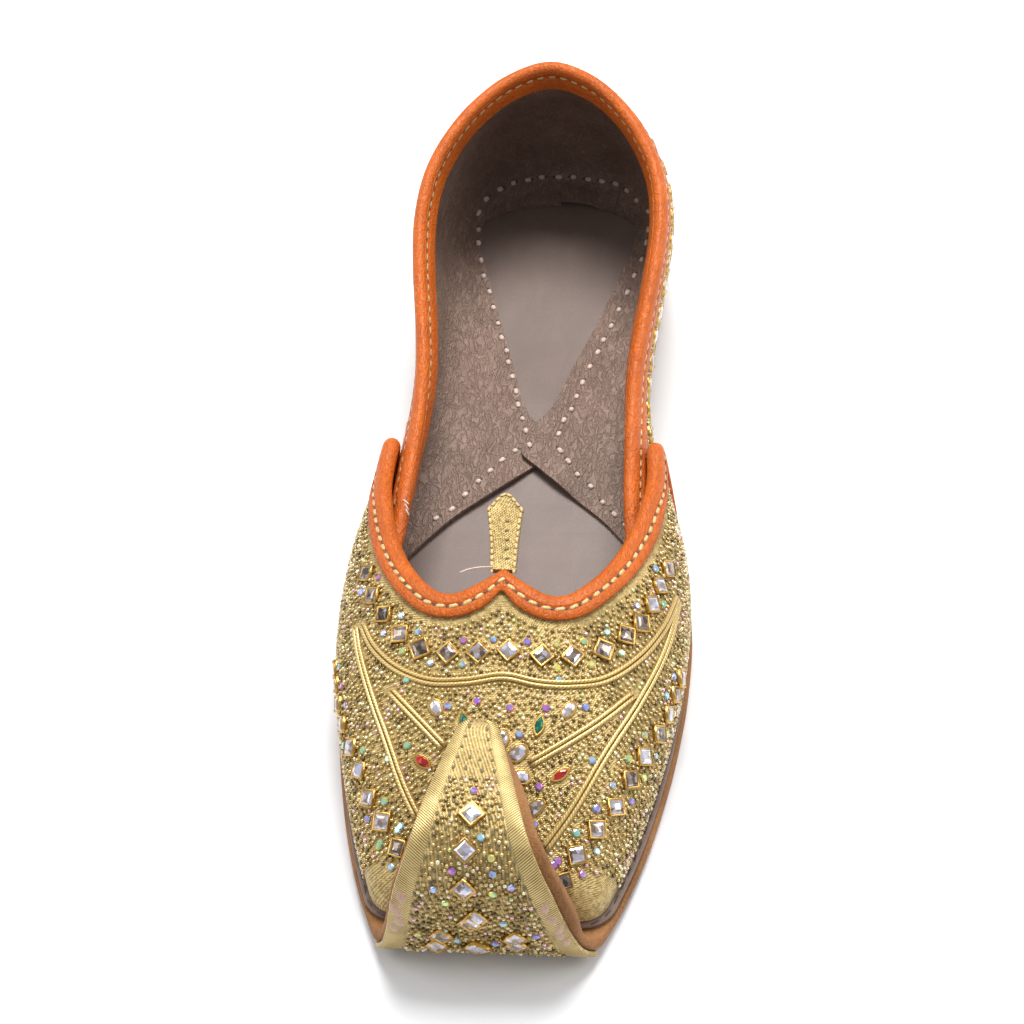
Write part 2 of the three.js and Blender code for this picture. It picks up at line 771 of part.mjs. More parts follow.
// Lining flaps: the side linings folded onto the insole, the right one over the left where they cross
function liningFlap(side, over) {
  const across = 5;
  const steps = 2;
  const row = (name, place) => through(flapRows.map((entry) => entry[name]), place);
  const rings = [];
  for (let k = 0; k <= (flapRows.length - 1) * steps; k += 1) {
    const place = k / steps;
    const wallAt = row('wall', place);
    const wallHalf = insetHalf(wallAt, flapInset, 0) - tuck(wallAt);
    const points = [];
    for (let j = 0; j <= across; j += 1) {
      const at = THREE.MathUtils.lerp(row('free', place), wallAt, j / across);
      const half = THREE.MathUtils.lerp(row('half', place), wallHalf, j / across);
      const share = 1 - ease(flapCrossing.from, flapCrossing.to, half);
      const lift = over ? (liningThickness + gap) * share : 0;
      points.push(new THREE.Vector3(side * half, at, insoleTop(at) + gap + lift));
    }
    const lifted = points.map((point) => point.clone().setZ(point.z + liningThickness));
    rings.push([...points, ...lifted.reverse()]);
  }
  return loft(rings, rowCaps(2 * (across + 1)));
}

// Throat tab: a short tongue of the vamp's leather behind the peak
const tabRows = [
  { from: 0, half: 3.1, lean: -0.3 },
  { from: 6, half: 3.3, lean: -0.5 },
  { from: 12, half: 3.8, lean: -0.8 },
  { from: 16.5, half: 4.3, lean: -1 },
  { from: 20.5, half: 0.5, lean: -1.1 },
];

function throatTabSolid() {
  const edge = vampPoint(throatRows[throatRows.length - 1].at, 1);
  const rings = tabRows.map(({ from, half, lean }) => {
    const at = edge.y + beadReach + gap + from;
    const height = edge.z + tabRise * from;
    const ring = plateRing(at, half, height - tabThickness, height);
    ring.forEach((point) => { point.x += lean; });
    return ring;
  });
  return loft(rings, rowCaps(4));
}

const colours = {
  sole: { color: 0x9a6438, roughness: 0.75 },
  taupe: { color: 0x8c776b, roughness: 0.6 },
  gold: { color: 0xb8a25c, roughness: 0.45, metalness: 0.3 },
  orange: { color: 0xdd6423, roughness: 0.5 },
};

const pieces = [
  ['outsole', outsoleSolid(), colours.sole],
  ['edge_strip', edgeStripSolid(), colours.taupe],
  ['upper', upperSolid(), colours.gold],
  ['insole', insoleSolid(), colours.taupe],
  ['lining_flap_left', liningFlap(-1, false), colours.taupe],
  ['lining_flap_right', liningFlap(1, true), colours.taupe],
  ['binding_vamp', vampBinding(), colours.orange],
  ['binding_quarter', quarterBinding(), colours.orange],
  ['throat_tab', throatTabSolid(), colours.gold],
  ['curl_cover', curlCoverSolid(), colours.gold],
];

const shoe = new THREE.Group();
for (const [name, piece, colour] of pieces) {
  const mesh = new THREE.Mesh(geometryOf(piece), new THREE.MeshStandardMaterial(colour));
  mesh.name = name;
  shoe.add(mesh);
}

// Origin under the middle of the shoe's box, on the floor
const middle = new THREE.Box3().setFromObject(shoe, true).getCenter(new THREE.Vector3());
for (const mesh of shoe.children) mesh.geometry.translate(-middle.x, -middle.y, 0);

export default shoe;
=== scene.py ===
# A beaded gold mojari: the looks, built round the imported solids.
# The shoe's own sizes are in millimetres: at = distance from the toe, then half width and height.
import json
import math
import random

import bmesh
import bpy
import numpy as np
from mathutils import Matrix, Vector, noise
from mathutils.bvhtree import BVHTree
from mathutils.kdtree import KDTree

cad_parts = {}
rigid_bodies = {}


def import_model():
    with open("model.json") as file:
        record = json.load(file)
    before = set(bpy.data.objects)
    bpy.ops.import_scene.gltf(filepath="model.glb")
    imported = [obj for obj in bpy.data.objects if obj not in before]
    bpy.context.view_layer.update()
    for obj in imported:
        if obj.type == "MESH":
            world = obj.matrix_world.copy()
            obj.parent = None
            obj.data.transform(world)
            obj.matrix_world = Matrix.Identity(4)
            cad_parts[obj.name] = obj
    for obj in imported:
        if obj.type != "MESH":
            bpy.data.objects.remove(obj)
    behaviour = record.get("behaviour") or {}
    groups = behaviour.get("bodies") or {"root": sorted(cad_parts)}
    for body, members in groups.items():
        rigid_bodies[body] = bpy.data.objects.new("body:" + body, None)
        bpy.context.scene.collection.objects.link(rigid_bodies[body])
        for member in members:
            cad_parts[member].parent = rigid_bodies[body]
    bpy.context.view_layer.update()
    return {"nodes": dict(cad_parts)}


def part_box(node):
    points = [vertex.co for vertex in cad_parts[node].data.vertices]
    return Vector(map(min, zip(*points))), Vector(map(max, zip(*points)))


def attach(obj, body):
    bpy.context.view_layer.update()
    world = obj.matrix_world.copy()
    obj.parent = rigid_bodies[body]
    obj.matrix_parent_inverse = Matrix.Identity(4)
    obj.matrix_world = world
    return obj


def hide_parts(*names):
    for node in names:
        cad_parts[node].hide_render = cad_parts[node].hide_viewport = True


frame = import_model()

form = {
    "footLength": 250,
    "ballWidth": 85,
    "instepHeight": 42,
    "wall": 2,
    "gap": 0.3,
    "foreSole": 3,
    "heelSole": 4.2,
    "archLift": 1.6,
    "toeSpring": 2,
    "springStart": 47.5,
    "heelSide": 205,
    "heelBack": 249,
    "heelRoundness": 2.7,
    "toeFront": 5.5,
    "toeCorner": 5,
    "toeRim": 2.4,
    "heelRim": 1.6,
    "quarterTuck": 1.1,
    "archRoundness": 2.3,
    "tuckShare": 0.12,
    "tuckHeight": 0.2,
    "quarterLean": 1.6,
    "vampSwell": 1.4,
    "wingPinch": 1.2,
    "stripHeight": 1.6,
    "insoleFore": 2.6,
    "insoleHeel": 3.6,
    "curlLeather": 2.8,
}

soleRows = [  # at, half
    (0, 0.292), (0.016, 0.313), (0.044, 0.348), (0.1, 0.402), (0.156, 0.442), (0.216, 0.474),
    (0.28, 0.495), (0.336, 0.501), (0.4, 0.487), (0.48, 0.435), (0.54, 0.382), (0.6, 0.346),
    (0.66, 0.331), (0.72, 0.334), (0.82, 0.357),
]

ridgeRows = [  # at, rise
    (0.02, 0.21), (0.056, 0.335), (0.08, 0.412), (0.112, 0.507), (0.144, 0.588), (0.2, 0.698),
    (0.256, 0.79), (0.3, 0.864), (0.336, 0.881), (0.38, 0.929), (0.434, 1.06), (0.46, 1.19),
    (0.485, 1.39), (0.505, 1.6),
]

wingRows = [  # at, height, foot
    (112.3, 6.3, 108.5), (113.4, 9.6, 105), (115.2, 14, 101), (117.8, 19.5, 97), (120.3, 24.8, 93),
    (122.6, 28.7, 89), (123.5, 31, 85.5), (122.7, 33, 82),
]

throatRows = [  # at, half, foot, across
    (119.9, 33.6, 78.5, 0), (115, 33.8, 74, 0), (108.5, 33.5, 68.5, 0), (102, 32.3, 62, 0),
    (95.5, 30.8, 54.5, 0), (89.5, 28.8, 46.5, 0), (83.5, 26.2, 38, 0), (78, 23, 29.5, 0),
    (73.8, 19.7, 21, 0), (71, 16.4, 13, 0), (69.8, 13, 7, 0), (70, 9.6, 5.5, 0.3),
    (71.6, 6, 5.5, 0.55), (73.7, 2.8, 5.5, 0.78), (76, 0, 5.5, 1),
]

quarterRows = [  # foot, top, half, height, bulge
    (91, 92, 29.2, 29.6, 0.5), (105, 106, 28, 32.9, 0.6), (116, 117, 27.6, 34, 0.6),
    (130, 131, 27.2, 35.3, 0.8), (145, 145, 27.4, 37.8, 1), (160, 159, 28.9, 41, 1.7),
    (176, 174, 30.9, 44.5, 2.5), (192, 188, 31.8, 48, 3.3), (207, 201, 30.3, 51.5, 3.7),
    (221, 212, 26.1, 54.5, 3.6), (233, 222, 19.7, 57, 3.3), (243, 230.6, 11, 58.8, 3),
    (247.4, 234.6, 0, 60, 3),
]

curlRows = [  # at, height, half, lean
    (12, 2.6, 29.9, 0), (6, 3.1, 27.3, 0), (2.2, 4.6, 25.4, 0), (0.5, 8.2, 23, -0.2),
    (0.1, 14, 21.1, -0.4), (0.3, 20.5, 19.6, -0.6), (1.8, 27.8, 17.6, -0.9),
    (4.8, 33.8, 14.9, -1.2), (9.6, 37.4, 12.4, -1.5), (16, 37.8, 10.4, -1.8),
    (23.5, 36.5, 8.5, -2.1), (31, 34.9, 6.6, -2.4), (36.6, 33.9, 4.9, -2.6),
    (38.6, 33.6, 2.6, -2.7),
]

flapRows = [  # wall, free, half
    (108, 107.5, 29.4), (115, 113.5, 25), (122, 120.5, 19.2), (129, 128, 10.8), (136, 135.5, 2.2),
    (142, 141.5, -3.4), (149, 147.5, -2.4), (158, 156, 3.2), (174, 173, 8.4), (190, 189, 13.2),
    (206, 205, 17.8), (220, 218.5, 21.2), (229, 228, 22.6),
]

tabRows = [  # from, half, lean
    (0, 3.1, -0.3), (6, 3.3, -0.5), (12, 3.8, -0.8), (16.5, 4.3, -1), (20.5, 0.5, -1.1),
]

shiftAt = form["heelBack"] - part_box("outsole")[1].y * 1000  # station of the row frame's origin


def ease(low, high, value):
    t = min(max((value - low) / (high - low), 0), 1)
    return t * t * (3 - 2 * t)


def mixed(a, b, t):
    return a + (b - a) * t


def hermite(a, b, slopeA, slopeB, t):
    bend = (1 - t) * (1 - t) * t * slopeA - t * t * (1 - t) * slopeB
    return a + (b - a) * t * t * (3 - 2 * t) + bend


# Smooth curve through a table, without overshoot: column number "name" where the first column has a value
def column(rows, name, value):
    last = len(rows) - 1
    i = 0
    while i < last - 1 and rows[i + 1][0] < value:
        i += 1

    def secant(k):
        return (rows[k + 1][name] - rows[k][name]) / (rows[k + 1][0] - rows[k][0])

    def slope(k):
        if k == 0:
            return secant(0)
        if k == last:
            return secant(last - 1)
        before, after = secant(k - 1), secant(k)
        return 0 if before * after <= 0 else 2 * before * after / (before + after)

    span = rows[i + 1][0] - rows[i][0]
    t = (value - rows[i][0]) / span
    return hermite(rows[i][name], rows[i + 1][name], slope(i) * span, slope(i + 1) * span, t)


# Smooth curve through a list of numbers at the indexes 0, 1, 2 and so on
def through(values, index):
    last = len(values) - 1
    i = min(math.floor(index), last - 1)

    def value(k):
        if k < 0:
            return 2 * values[0] - values[1]
        if k > last:
            return 2 * values[last] - values[last - 1]
        return values[k]

    slopeA = (value(i + 1) - value(i - 1)) / 2
    slopeB = (value(i + 2) - value(i)) / 2
    return hermite(value(i), value(i + 1), slopeA, slopeB, index - i)


def roundIn(distance, radius):
    left = min(max(1 - distance / radius, 0), 1)
    return math.sqrt(1 - left * left)


def soleHalf(at):
    if at <= form["heelSide"]:
        return form["ballWidth"] * column(soleRows, 1, max(at / form["footLength"], 0))
    return heelHalf(at, 0)


def heelHalf(at, inset):
    back = form["heelBack"] - inset
    share = min((at - form["heelSide"]) / (back - form["heelSide"]), 1)
    roundness = form["heelRoundness"]
    return (form["ballWidth"] * soleRows[-1][1] - inset) * (1 - share**roundness) ** (1 / roundness)


def soleBottom(at):
    spring = max(1 - at / form["springStart"], 0)
    share = at / form["footLength"]
    arch = ease(0.44, 0.6, share) - ease(0.6, 0.76, share)
    return form["toeSpring"] * spring * spring + form["archLift"] * arch


def soleThickness(at):
    return mixed(form["foreSole"], form["heelSole"], ease(0.5, 0.8, at / form["footLength"]))


def soleTop(at):
    return soleBottom(at) + soleThickness(at)


def feather(at):
    return soleTop(at) + form["stripHeight"] + 2 * form["gap"]


def rim(at):
    return mixed(form["toeRim"], form["heelRim"], ease(0.1, 0.7, at / form["footLength"]))


def insetHalf(at, inset, front):
    corner = form["toeCorner"]
    if at <= form["heelSide"]:
        return soleHalf(at) - rim(at) - inset - corner * (1 - roundIn(at - front, corner))
    return heelHalf(at, form["heelRim"] + inset)


def footHalf(at):
    return insetHalf(at, 0, form["toeFront"])


def insoleTop(at):
    lift = ease(0.5, 0.85, at / form["footLength"])
    return soleTop(at) + form["gap"] + mixed(form["insoleFore"], form["insoleHeel"], lift)


# Vamp surface: station and share of the section's arc, 0 at the sole, 1 on the centre line, 2 at the far side
def sideHalf(at):
    share = at / form["footLength"]
    half = footHalf(at) + form["vampSwell"] * ease(0.06, 0.3, share)
    return half - form["wingPinch"] * ease(0.38, 0.47, share)


def vampRise(at):
    rise = column(ridgeRows, 1, at / form["footLength"])
    return form["instepHeight"] * rise * roundIn(at - form["toeFront"], 6)


def vampPoint(at, up):
    if up > 1:
        point = vampPoint(at, 2 - up)
        return Vector((-point.x, point.y, point.z))
    foot, side, rise = footHalf(at), sideHalf(at), vampRise(at)
    tuckShare, tuckHeight = form["tuckShare"], form["tuckHeight"]
    if up < tuckShare:
        share = up / tuckShare
        half = foot + (side - foot) * (1 - (1 - share) ** 2)
        return Vector((half, at, feather(at) + tuckHeight * rise * share))
    turn = (min(up, 1) - tuckShare) / (1 - tuckShare) * math.pi / 2
    half = side * max(math.cos(turn), 0) ** (2 / form["archRoundness"])
    lift = tuckHeight + (1 - tuckHeight) * math.sin(turn) ** (2 / form["archRoundness"])
    return Vector((half, at, feather(at) + rise * lift))


def arcShare(turn):
    return form["tuckShare"] + (1 - form["tuckShare"]) * turn / (math.pi / 2)


def upFromHalf(at, half):
    return arcShare(math.acos((half / sideHalf(at)) ** (form["archRoundness"] / 2)))


def upFromHeight(at, height):
    share = (height - feather(at)) / vampRise(at)
    tuckHeight = form["tuckHeight"]
    if share < tuckHeight:
        return form["tuckShare"] * share / tuckHeight
    return arcShare(math.asin(((share - tuckHeight) / (1 - tuckHeight)) ** (form["archRoundness"] / 2)))


edgeRows = [(at, upFromHeight(at, height), foot, 0) for at, height, foot in wingRows]
edgeRows += [(at, upFromHalf(at, half), foot, across) for at, half, foot, across in throatRows]
peak = len(edgeRows) - 1


def edgeAt(index, name):
    return through([row[name] for row in edgeRows], index)


def vampEdge(index):
    return edgeAt(index, 0), 1 if index == peak else min(edgeAt(index, 1), 1)


# Quarter surface: row index from one front end round the heel to the other, and share of the wall's height
quarterMiddle = len(quarterRows) - 1
quarterEnd = 2 * quarterMiddle


def quarterRow(index, name):
    values = [row[name] for row in quarterRows]
    sign = -1 if name == 2 else 1
    return through(values + [sign * value for value in values[-2::-1]], index)


def tuck(at):
    return form["quarterTuck"] * (1 - ease(108, 126, at))


def quarterPoint(index, up):
    if index > quarterMiddle:
        point = quarterPoint(quarterEnd - index, up)
        return Vector((-point.x, point.y, point.z))
    foot = min(quarterRow(index, 0), form["heelBack"] - form["heelRim"])
    base = Vector((footHalf(foot) - tuck(foot), foot, feather(foot)))
    top = Vector((quarterRow(index, 2), quarterRow(index, 1), quarterRow(index, 3)))
    lean = max(up, 0) ** form["quarterLean"]
    out = Vector((base.x, max(foot - form["heelSide"], 0), 0)).normalized()
    swell = quarterRow(index, 4) * math.sin(math.pi * max(up, 0))
    x = base.x + (top.x - base.x) * lean + out.x * swell
    y = base.y + (top.y - base.y) * lean + out.y * swell
    return Vector((x, y, base.z + (top.z - base.z) * up))


# Point and outward normal of a surface at two parameters, with its two tangents
def surfaceFrame(surface, u, v, stepU, stepV):
    point = surface(u, v)
    alongU = (surface(u + stepU, v) - surface(u - stepU, v)) / (2 * stepU)
    alongV = (surface(u, v + stepV) - surface(u, v - stepV)) / (2 * stepV)
    return point, alongU.cross(alongV).normalized(), alongU, alongV


def vampFrame(at, up):
    return surfaceFrame(vampPoint, at, up, 0.2, 0.004)


def quarterFrame(index, up):
    return surfaceFrame(quarterPoint, min(max(index, 0.03), quarterEnd - 0.03), up, 0.02, 0.01)


def inwardFrom(index):
    at, up = vampEdge(index)
    point, normal, alongU, _ = vampFrame(at, up)
    tangent = (vampPoint(*vampEdge(min(index + 0.1, peak))) - vampPoint(*vampEdge(index - 0.1))).normalized()
    return (-alongU.normalized()).lerp(normal.cross(tangent).normalized(), ease(0, 9, point.x)).normalized()


# Frame on the vamp a distance inward from its edge, walked over the surface in short steps
def vampWalk(index, direction, distance):
    at, up = vampEdge(index)
    steps = math.ceil(abs(distance) / 1.2)
    for _ in range(steps):
        _, normal, alongU, alongV = vampFrame(at, up)
        step = (direction - normal * direction.dot(normal)).normalized() * (distance / steps)
        uu, uv, vv = alongU.dot(alongU), alongU.dot(alongV), alongV.dot(alongV)
        scale = 1 / (uu * vv - uv * uv)
        at += (step.dot(alongU) * vv - step.dot(alongV) * uv) * scale
        up = min(up + (step.dot(alongV) * uu - step.dot(alongU) * uv) * scale, 1)
    return vampFrame(at, up)


# Meshes: a grid rolled through rings of points, closed round and capped, with a UV map in millimetres
def ringMesh(rings, closedAlong=False, capped=True):
    rows, cols = len(rings), len(rings[0])
    lines = rows + 1 if closedAlong else rows
    shape = bmesh.new()
    bmesh.ops.create_grid(shape, x_segments=cols, y_segments=lines - 1, size=1)
    along = [0.0]
    for i in range(1, lines):
        along.append(along[-1] + (rings[i % rows][0] - rings[i - 1][0]).length)
    across = []
    for ring in rings:
        steps = [0.0]
        for j in range(cols):
            steps.append(steps[-1] + (ring[(j + 1) % cols] - ring[j]).length)
        across.append(steps)
    place = {}
    for vert in shape.verts:
        i = round((vert.co.y + 1) / 2 * (lines - 1))
        j = round((vert.co.x + 1) / 2 * cols)
        place[vert] = (i, j)
        point = rings[i % rows][j % cols]
        vert.co = Vector((point.x, point.y - shiftAt, point.z)) / 1000
    layer = shape.loops.layers.uv.new("UVMap")
    for face in shape.faces:
        for loop in face.loops:
            i, j = place[loop.vert]
            loop[layer].uv = (along[i], across[i % rows][j])
    bmesh.ops.remove_doubles(shape, verts=shape.verts, dist=1e-7)
    if capped and not closedAlong:
        openEdges = [edge for edge in shape.edges if edge.is_boundary]
        bmesh.ops.holes_fill(shape, edges=openEdges, sides=0)
    bmesh.ops.recalc_face_normals(shape, faces=shape.faces)
    return shape


def setPiece(name, mesh, finishes, stands=()):
    for finish in finishes:
        mesh.materials.append(finish.material)
    piece = bpy.data.objects.new(name, mesh)
    bpy.context.collection.objects.link(piece)
    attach(piece, "root")
    if stands:
        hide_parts(*stands)
    return piece


# Piece from a finished shape, smooth up to an angle in degrees, or all over for 0
def addPiece(name, shape, finishes, stands=(), sharp=35):
    mesh = bpy.data.meshes.new(name)
    shape.to_mesh(mesh)
    shape.free()
    mesh.shade_smooth()
    if sharp:
        mesh.set_sharp_from_angle(angle=math.radians(sharp))
    return setPiece(name, mesh, finishes, stands)


# Rings of a sheet: its outer row, then its inner row backwards
def sheetRing(points, normals, outer, inner):
    front = [point + normal * outer for point, normal in zip(points, normals)]
    back = [point + normal * inner for point, normal in zip(points, normals)]
    return front + back[::-1]


# Many copies of one small mesh, set down by matrices in metres, with a tone for each copy
def strew(name, template, places, finishes, tones=None):
    count = len(places)
    source = np.array([vert.co for vert in template.vertices])
    moves = np.array([[list(row) for row in place] for place in places])
    points = np.einsum("mij,nj->mni", moves[:, :3, :3], source) + moves[:, None, :3, 3]
    loops = np.array([loop.vertex_index for loop in template.loops])
    starts = np.array([face.loop_start for face in template.polygons])
    slots = np.array([face.material_index for face in template.polygons])
    smooth = np.array([face.use_smooth for face in template.polygons])
    mesh = bpy.data.meshes.new(name)
    mesh.vertices.add(points.shape[0] * points.shape[1])
    mesh.loops.add(count * len(loops))
    mesh.polygons.add(count * len(starts))
    mesh.vertices.foreach_set("co", points.reshape(-1))
    offsets = np.arange(count)[:, None]
    mesh.loops.foreach_set("vertex_index", (loops[None, :] + offsets * len(source)).reshape(-1))
    mesh.polygons.foreach_set("loop_start", (starts[None, :] + offsets * len(loops)).reshape(-1))
    mesh.polygons.foreach_set("material_index", np.tile(slots, count))
    mesh.polygons.foreach_set("use_smooth", np.tile(smooth, count))
    mesh.update(calc_edges=True)
    if tones is not None:
        layer = mesh.attributes.new("tone", "FLOAT", "POINT")
        layer.data.foreach_set("value", np.repeat(np.array(tones), len(source)))
    return setPiece(name, mesh, finishes)


# Matrix that sets a small shape on a surface: its z along the normal and its x along a direction, in metres
def setDown(point, normal, along, scale=1.0, sink=0.0):
    z = normal.normalized()
    x = (along - z * along.dot(z)).normalized()
    y = z.cross(x)
    turn = Matrix((x, y, z)).transposed().to_4x4()
    place = point - normal * sink
    where = Vector((place.x, place.y - shiftAt, place.z)) / 1000
    size = scale if isinstance(scale, tuple) else (scale, scale, scale)
    grow = Matrix.Diagonal((size[0] / 1000, size[1] / 1000, size[2] / 1000, 1))
    return Matrix.Translation(where) @ turn @ grow


def templateMesh(build):
    shape = bmesh.new()
    build(shape)
    bmesh.ops.recalc_face_normals(shape, faces=shape.faces)
    for face in shape.faces:
        face.smooth = face.material_index == 0
    mesh = bpy.data.meshes.new("template")
    shape.to_mesh(mesh)
    shape.free()
    return mesh


# A shader socket that can be reckoned with
class Wire:
    def __init__(self, finish, socket):
        self.finish = finish
        self.socket = socket

    def math(self, operation, *values):
        return self.finish.node("ShaderNodeMath", {"operation": operation}, dict(enumerate(values)))

    def __add__(self, other):
        return self.math("ADD", self, other)

    def __sub__(self, other):
        return self.math("SUBTRACT", self, other)

    def __mul__(self, other):
        return self.math("MULTIPLY", self, other)

    def __rsub__(self, other):
        return self.math("SUBTRACT", other, self)

    __radd__ = __add__
    __rmul__ = __mul__

    def wave(self, pitch):
        return self.math("SINE", self * (2 * math.pi / pitch)) * 0.5 + 0.5

    def sharp(self, low, high):
        return self.finish.node("ShaderNodeMapRange", {}, {0: self, 1: low, 2: high, 3: 0.0, 4: 1.0})


class Finish:
    def __init__(self, name, **sockets):
        self.material = bpy.data.materials.new(name)
        self.material.use_nodes = True
        self.tree = self.material.node_tree
        self.shader = self.tree.nodes["Principled BSDF"]
        self.feed(**sockets)

    def feed(self, **sockets):
        for name, value in sockets.items():
            socket = self.shader.inputs[socketNames[name]]
            if isinstance(value, Wire):
                self.tree.links.new(value.socket, socket)
            else:
                socket.default_value = value

    def node(self, kind, settings, values, output=0):
        made = self.tree.nodes.new(kind)
        for name, value in settings.items():
            if name == "stops":
                ramp = made.color_ramp
                while len(ramp.elements) < len(value):
                    ramp.elements.new(0.5)
                for element, (place, colour) in zip(ramp.elements, value):
                    element.position = place
                    element.color = (*colour, 1)
            else:
                setattr(made, name, value)
        for name, value in values.items():
            if isinstance(value, Wire):
                self.tree.links.new(value.socket, made.inputs[name])
            else:
                made.inputs[name].default_value = value
        return Wire(self, made.outputs[output])

    # Place on the piece in millimetres: on the object, or along and across its own UV map
    def spot(self, stretch=(1, 1, 1)):
        where = self.node("ShaderNodeTexCoord", {}, {}, "Object")
        return self.node("ShaderNodeMapping", {}, {"Vector": where, "Scale": [1000 * s for s in stretch]})

    def cloth(self):
        where = self.node("ShaderNodeTexCoord", {}, {}, "UV")
        return [self.node("ShaderNodeSeparateXYZ", {}, {0: where}, axis) for axis in ("X", "Y")]

    def noise(self, where, size, detail=3.0, rough=0.55, bent=0.0):
        values = {"Vector": where, "Scale": 1 / size, "Detail": detail}
        return self.node("ShaderNodeTexNoise", {}, {**values, "Roughness": rough, "Distortion": bent})

    def cells(self, where, size):
        return self.node("ShaderNodeTexVoronoi", {}, {"Vector": where, "Scale": 1 / size}, "Distance")

    # A random number for each cell, from its random colour
    def patches(self, where, size, channel):
        colour = self.node("ShaderNodeTexVoronoi", {}, {"Vector": where, "Scale": 1 / size}, "Color")
        return self.node("ShaderNodeSeparateColor", {}, {0: colour}, channel)

    # What is stored with each bead or stone
    def ownTone(self):
        return self.node("ShaderNodeAttribute", {"attribute_name": "tone"}, {}, 2)

    def blend(self, factor, first, second):
        values = {0: factor}
        for key, value in ((6, first), (7, second)):
            values[key] = value if isinstance(value, Wire) else (*value, 1)
        return self.node("ShaderNodeMix", {"data_type": "RGBA"}, values, 2)

    def ramp(self, factor, *stops):
        return self.node("ShaderNodeValToRGB", {"stops": stops}, {0: factor})

    def relief(self, height, depth, strength=1.0):
        values = {"Strength": strength, "Distance": depth / 1000, "Height": height}
        return self.node("ShaderNodeBump", {}, values)


socketNames = {
    "base": "Base Color",
    "metallic": "Metallic",
    "roughness": "Roughness",
    "normal": "Normal",
    "specular": "Specular IOR Level",
    "coat": "Coat Weight",
    "coatRoughness": "Coat Roughness",
    "sheen": "Sheen Weight",
}

# Colours are linear
goldTones = {
    "shade": (0.13, 0.085, 0.022),
    "deep": (0.28, 0.195, 0.06),
    "mid": (0.52, 0.365, 0.125),
    "light": (0.78, 0.61, 0.3),
    # pale, lime and rose are painted sparkle, used only for the beads
    "pale": (0.95, 0.9, 0.7),
    "cord": (0.5, 0.33, 0.1),
    "cordLight": (0.78, 0.58, 0.25),
    "limeSparkle": (0.7, 0.78, 0.25),
    "roseSparkle": (0.85, 0.55, 0.6),
}


def goldStops(*stops):
    return [(place, goldTones[name]) for place, name in stops]


# Twill of flat gold thread
def goldClothFinish(name, lift):
    finish = Finish(name, metallic=0.4, sheen=0.1)
    along, across = finish.cloth()
    twill = (along + across).wave(0.75)
    thread = across.wave(0.42)
    weave = twill * 0.6 + thread * 0.4
    cloudy = finish.noise(finish.spot(), 7, 3)
    glint = finish.patches(finish.spot(), 0.55, "Red")
    tone = weave * 0.4 + cloudy * 0.3 + glint * 0.3 + lift
    base = finish.ramp(tone, *goldStops((0.2, "shade"), (0.4, "deep"), (0.6, "mid"), (0.85, "light")))
    normal = finish.relief(weave + glint * 0.5, 0.12, 0.8)
    finish.feed(base=base, roughness=0.32 + glint * 0.25, normal=normal)
    return finish


def beadFinish():
    finish = Finish("gold seed beads", metallic=0.55, coat=0.6, coatRoughness=0.08)
    dull = ((0.0, "shade"), (0.18, "deep"), (0.5, "mid"))
    # the pale, lime and rose stops paint sparkle into some beads: highlights and coloured reflections
    lightAndSparkle = ((0.78, "light"), (0.9, "pale"), (0.95, "limeSparkle"), (0.99, "roseSparkle"))
    finish.feed(base=finish.ramp(finish.ownTone(), *goldStops(*dull, *lightAndSparkle)), roughness=0.22)
    return finish


def cordFinish():
    finish = Finish("gold twisted cord", metallic=0.5)
    along, across = finish.cloth()
    twist = (along + across * 0.8).wave(0.9)
    base = finish.blend(twist, goldTones["cord"], goldTones["cordLight"])
    finish.feed(base=base, roughness=0.32, normal=finish.relief(twist, 0.04, 0.5))
    return finish


# Leather from its dark to its light tone. Grain, wrinkle and blotch are sizes and depth is the height of the
# relief, in millimetres. Crease shade says how dark the painted shade in the bottoms of the creases is.
def leatherFinish(name, dark, light, grain, wrinkle, roughness, coat=0.0, blotch=9, depth=0.22, creaseShade=0.0):
    finish = Finish(name, coat=coat, coatRoughness=0.35, specular=0.35)
    place = finish.spot()
    patch = finish.noise(place, blotch, 4)
    pores = finish.cells(place, grain)
    fine = finish.noise(place, grain * 0.6, 2)
    creases = finish.noise(finish.spot((0.85, 0.35, 1)), wrinkle, 2, 0.5, 0.9)
    tone = patch * 0.55 + fine * 0.15 + pores * 0.2 + creases * 0.25
    base = finish.blend(tone.sharp(0.3, 0.85), dark, light)
    height = pores * 0.4 + fine * 0.25 + creases * 0.9
    if creaseShade:
        valley = (creases - 0.5).math("ABSOLUTE", creases - 0.5).sharp(0.0, 0.1)
        # painted shade: the bottoms of the creases are blended toward the dark tone
        base = finish.blend((1 - valley) * creaseShade, base, dark)
        height = height + valley * 0.8
    finish.feed(base=base, roughness=roughness + fine * 0.12, normal=finish.relief(height, depth, 0.8))
    return finish


def metalFinish(name, colour, roughness):
    finish = Finish(name, base=(*colour, 1), metallic=1.0, roughness=roughness)
    finish.feed(normal=finish.relief(finish.noise(finish.spot(), 0.5, 2), 0.05, 0.5))
    return finish


# Foil-backed stones: the tone of each stone and of its facet patches picks a colour from the stops; the
# patches paint light and dark reflections into the stones' colour.
def stoneFinish(name, stops, metallic, reflectionMottle, roughness):
    finish = Finish(name, metallic=metallic, roughness=roughness, coat=0.7, coatRoughness=0.03)
    facetReflections = finish.patches(finish.spot(), 1.1, "Green")
    finish.feed(base=finish.ramp(finish.ownTone() * (1 - reflectionMottle) + facetReflections * reflectionMottle, *stops))
    return finish


def threadFinish(name, dark, light, metallic=0.0):
    finish = Finish(name, metallic=metallic, sheen=0.3, roughness=0.55)
    twist = finish.noise(finish.spot(), 0.35, 2)
    finish.feed(base=finish.blend(twist.sharp(0.3, 0.7), dark, light), normal=finish.relief(twist, 0.12, 0.8))
    return finish


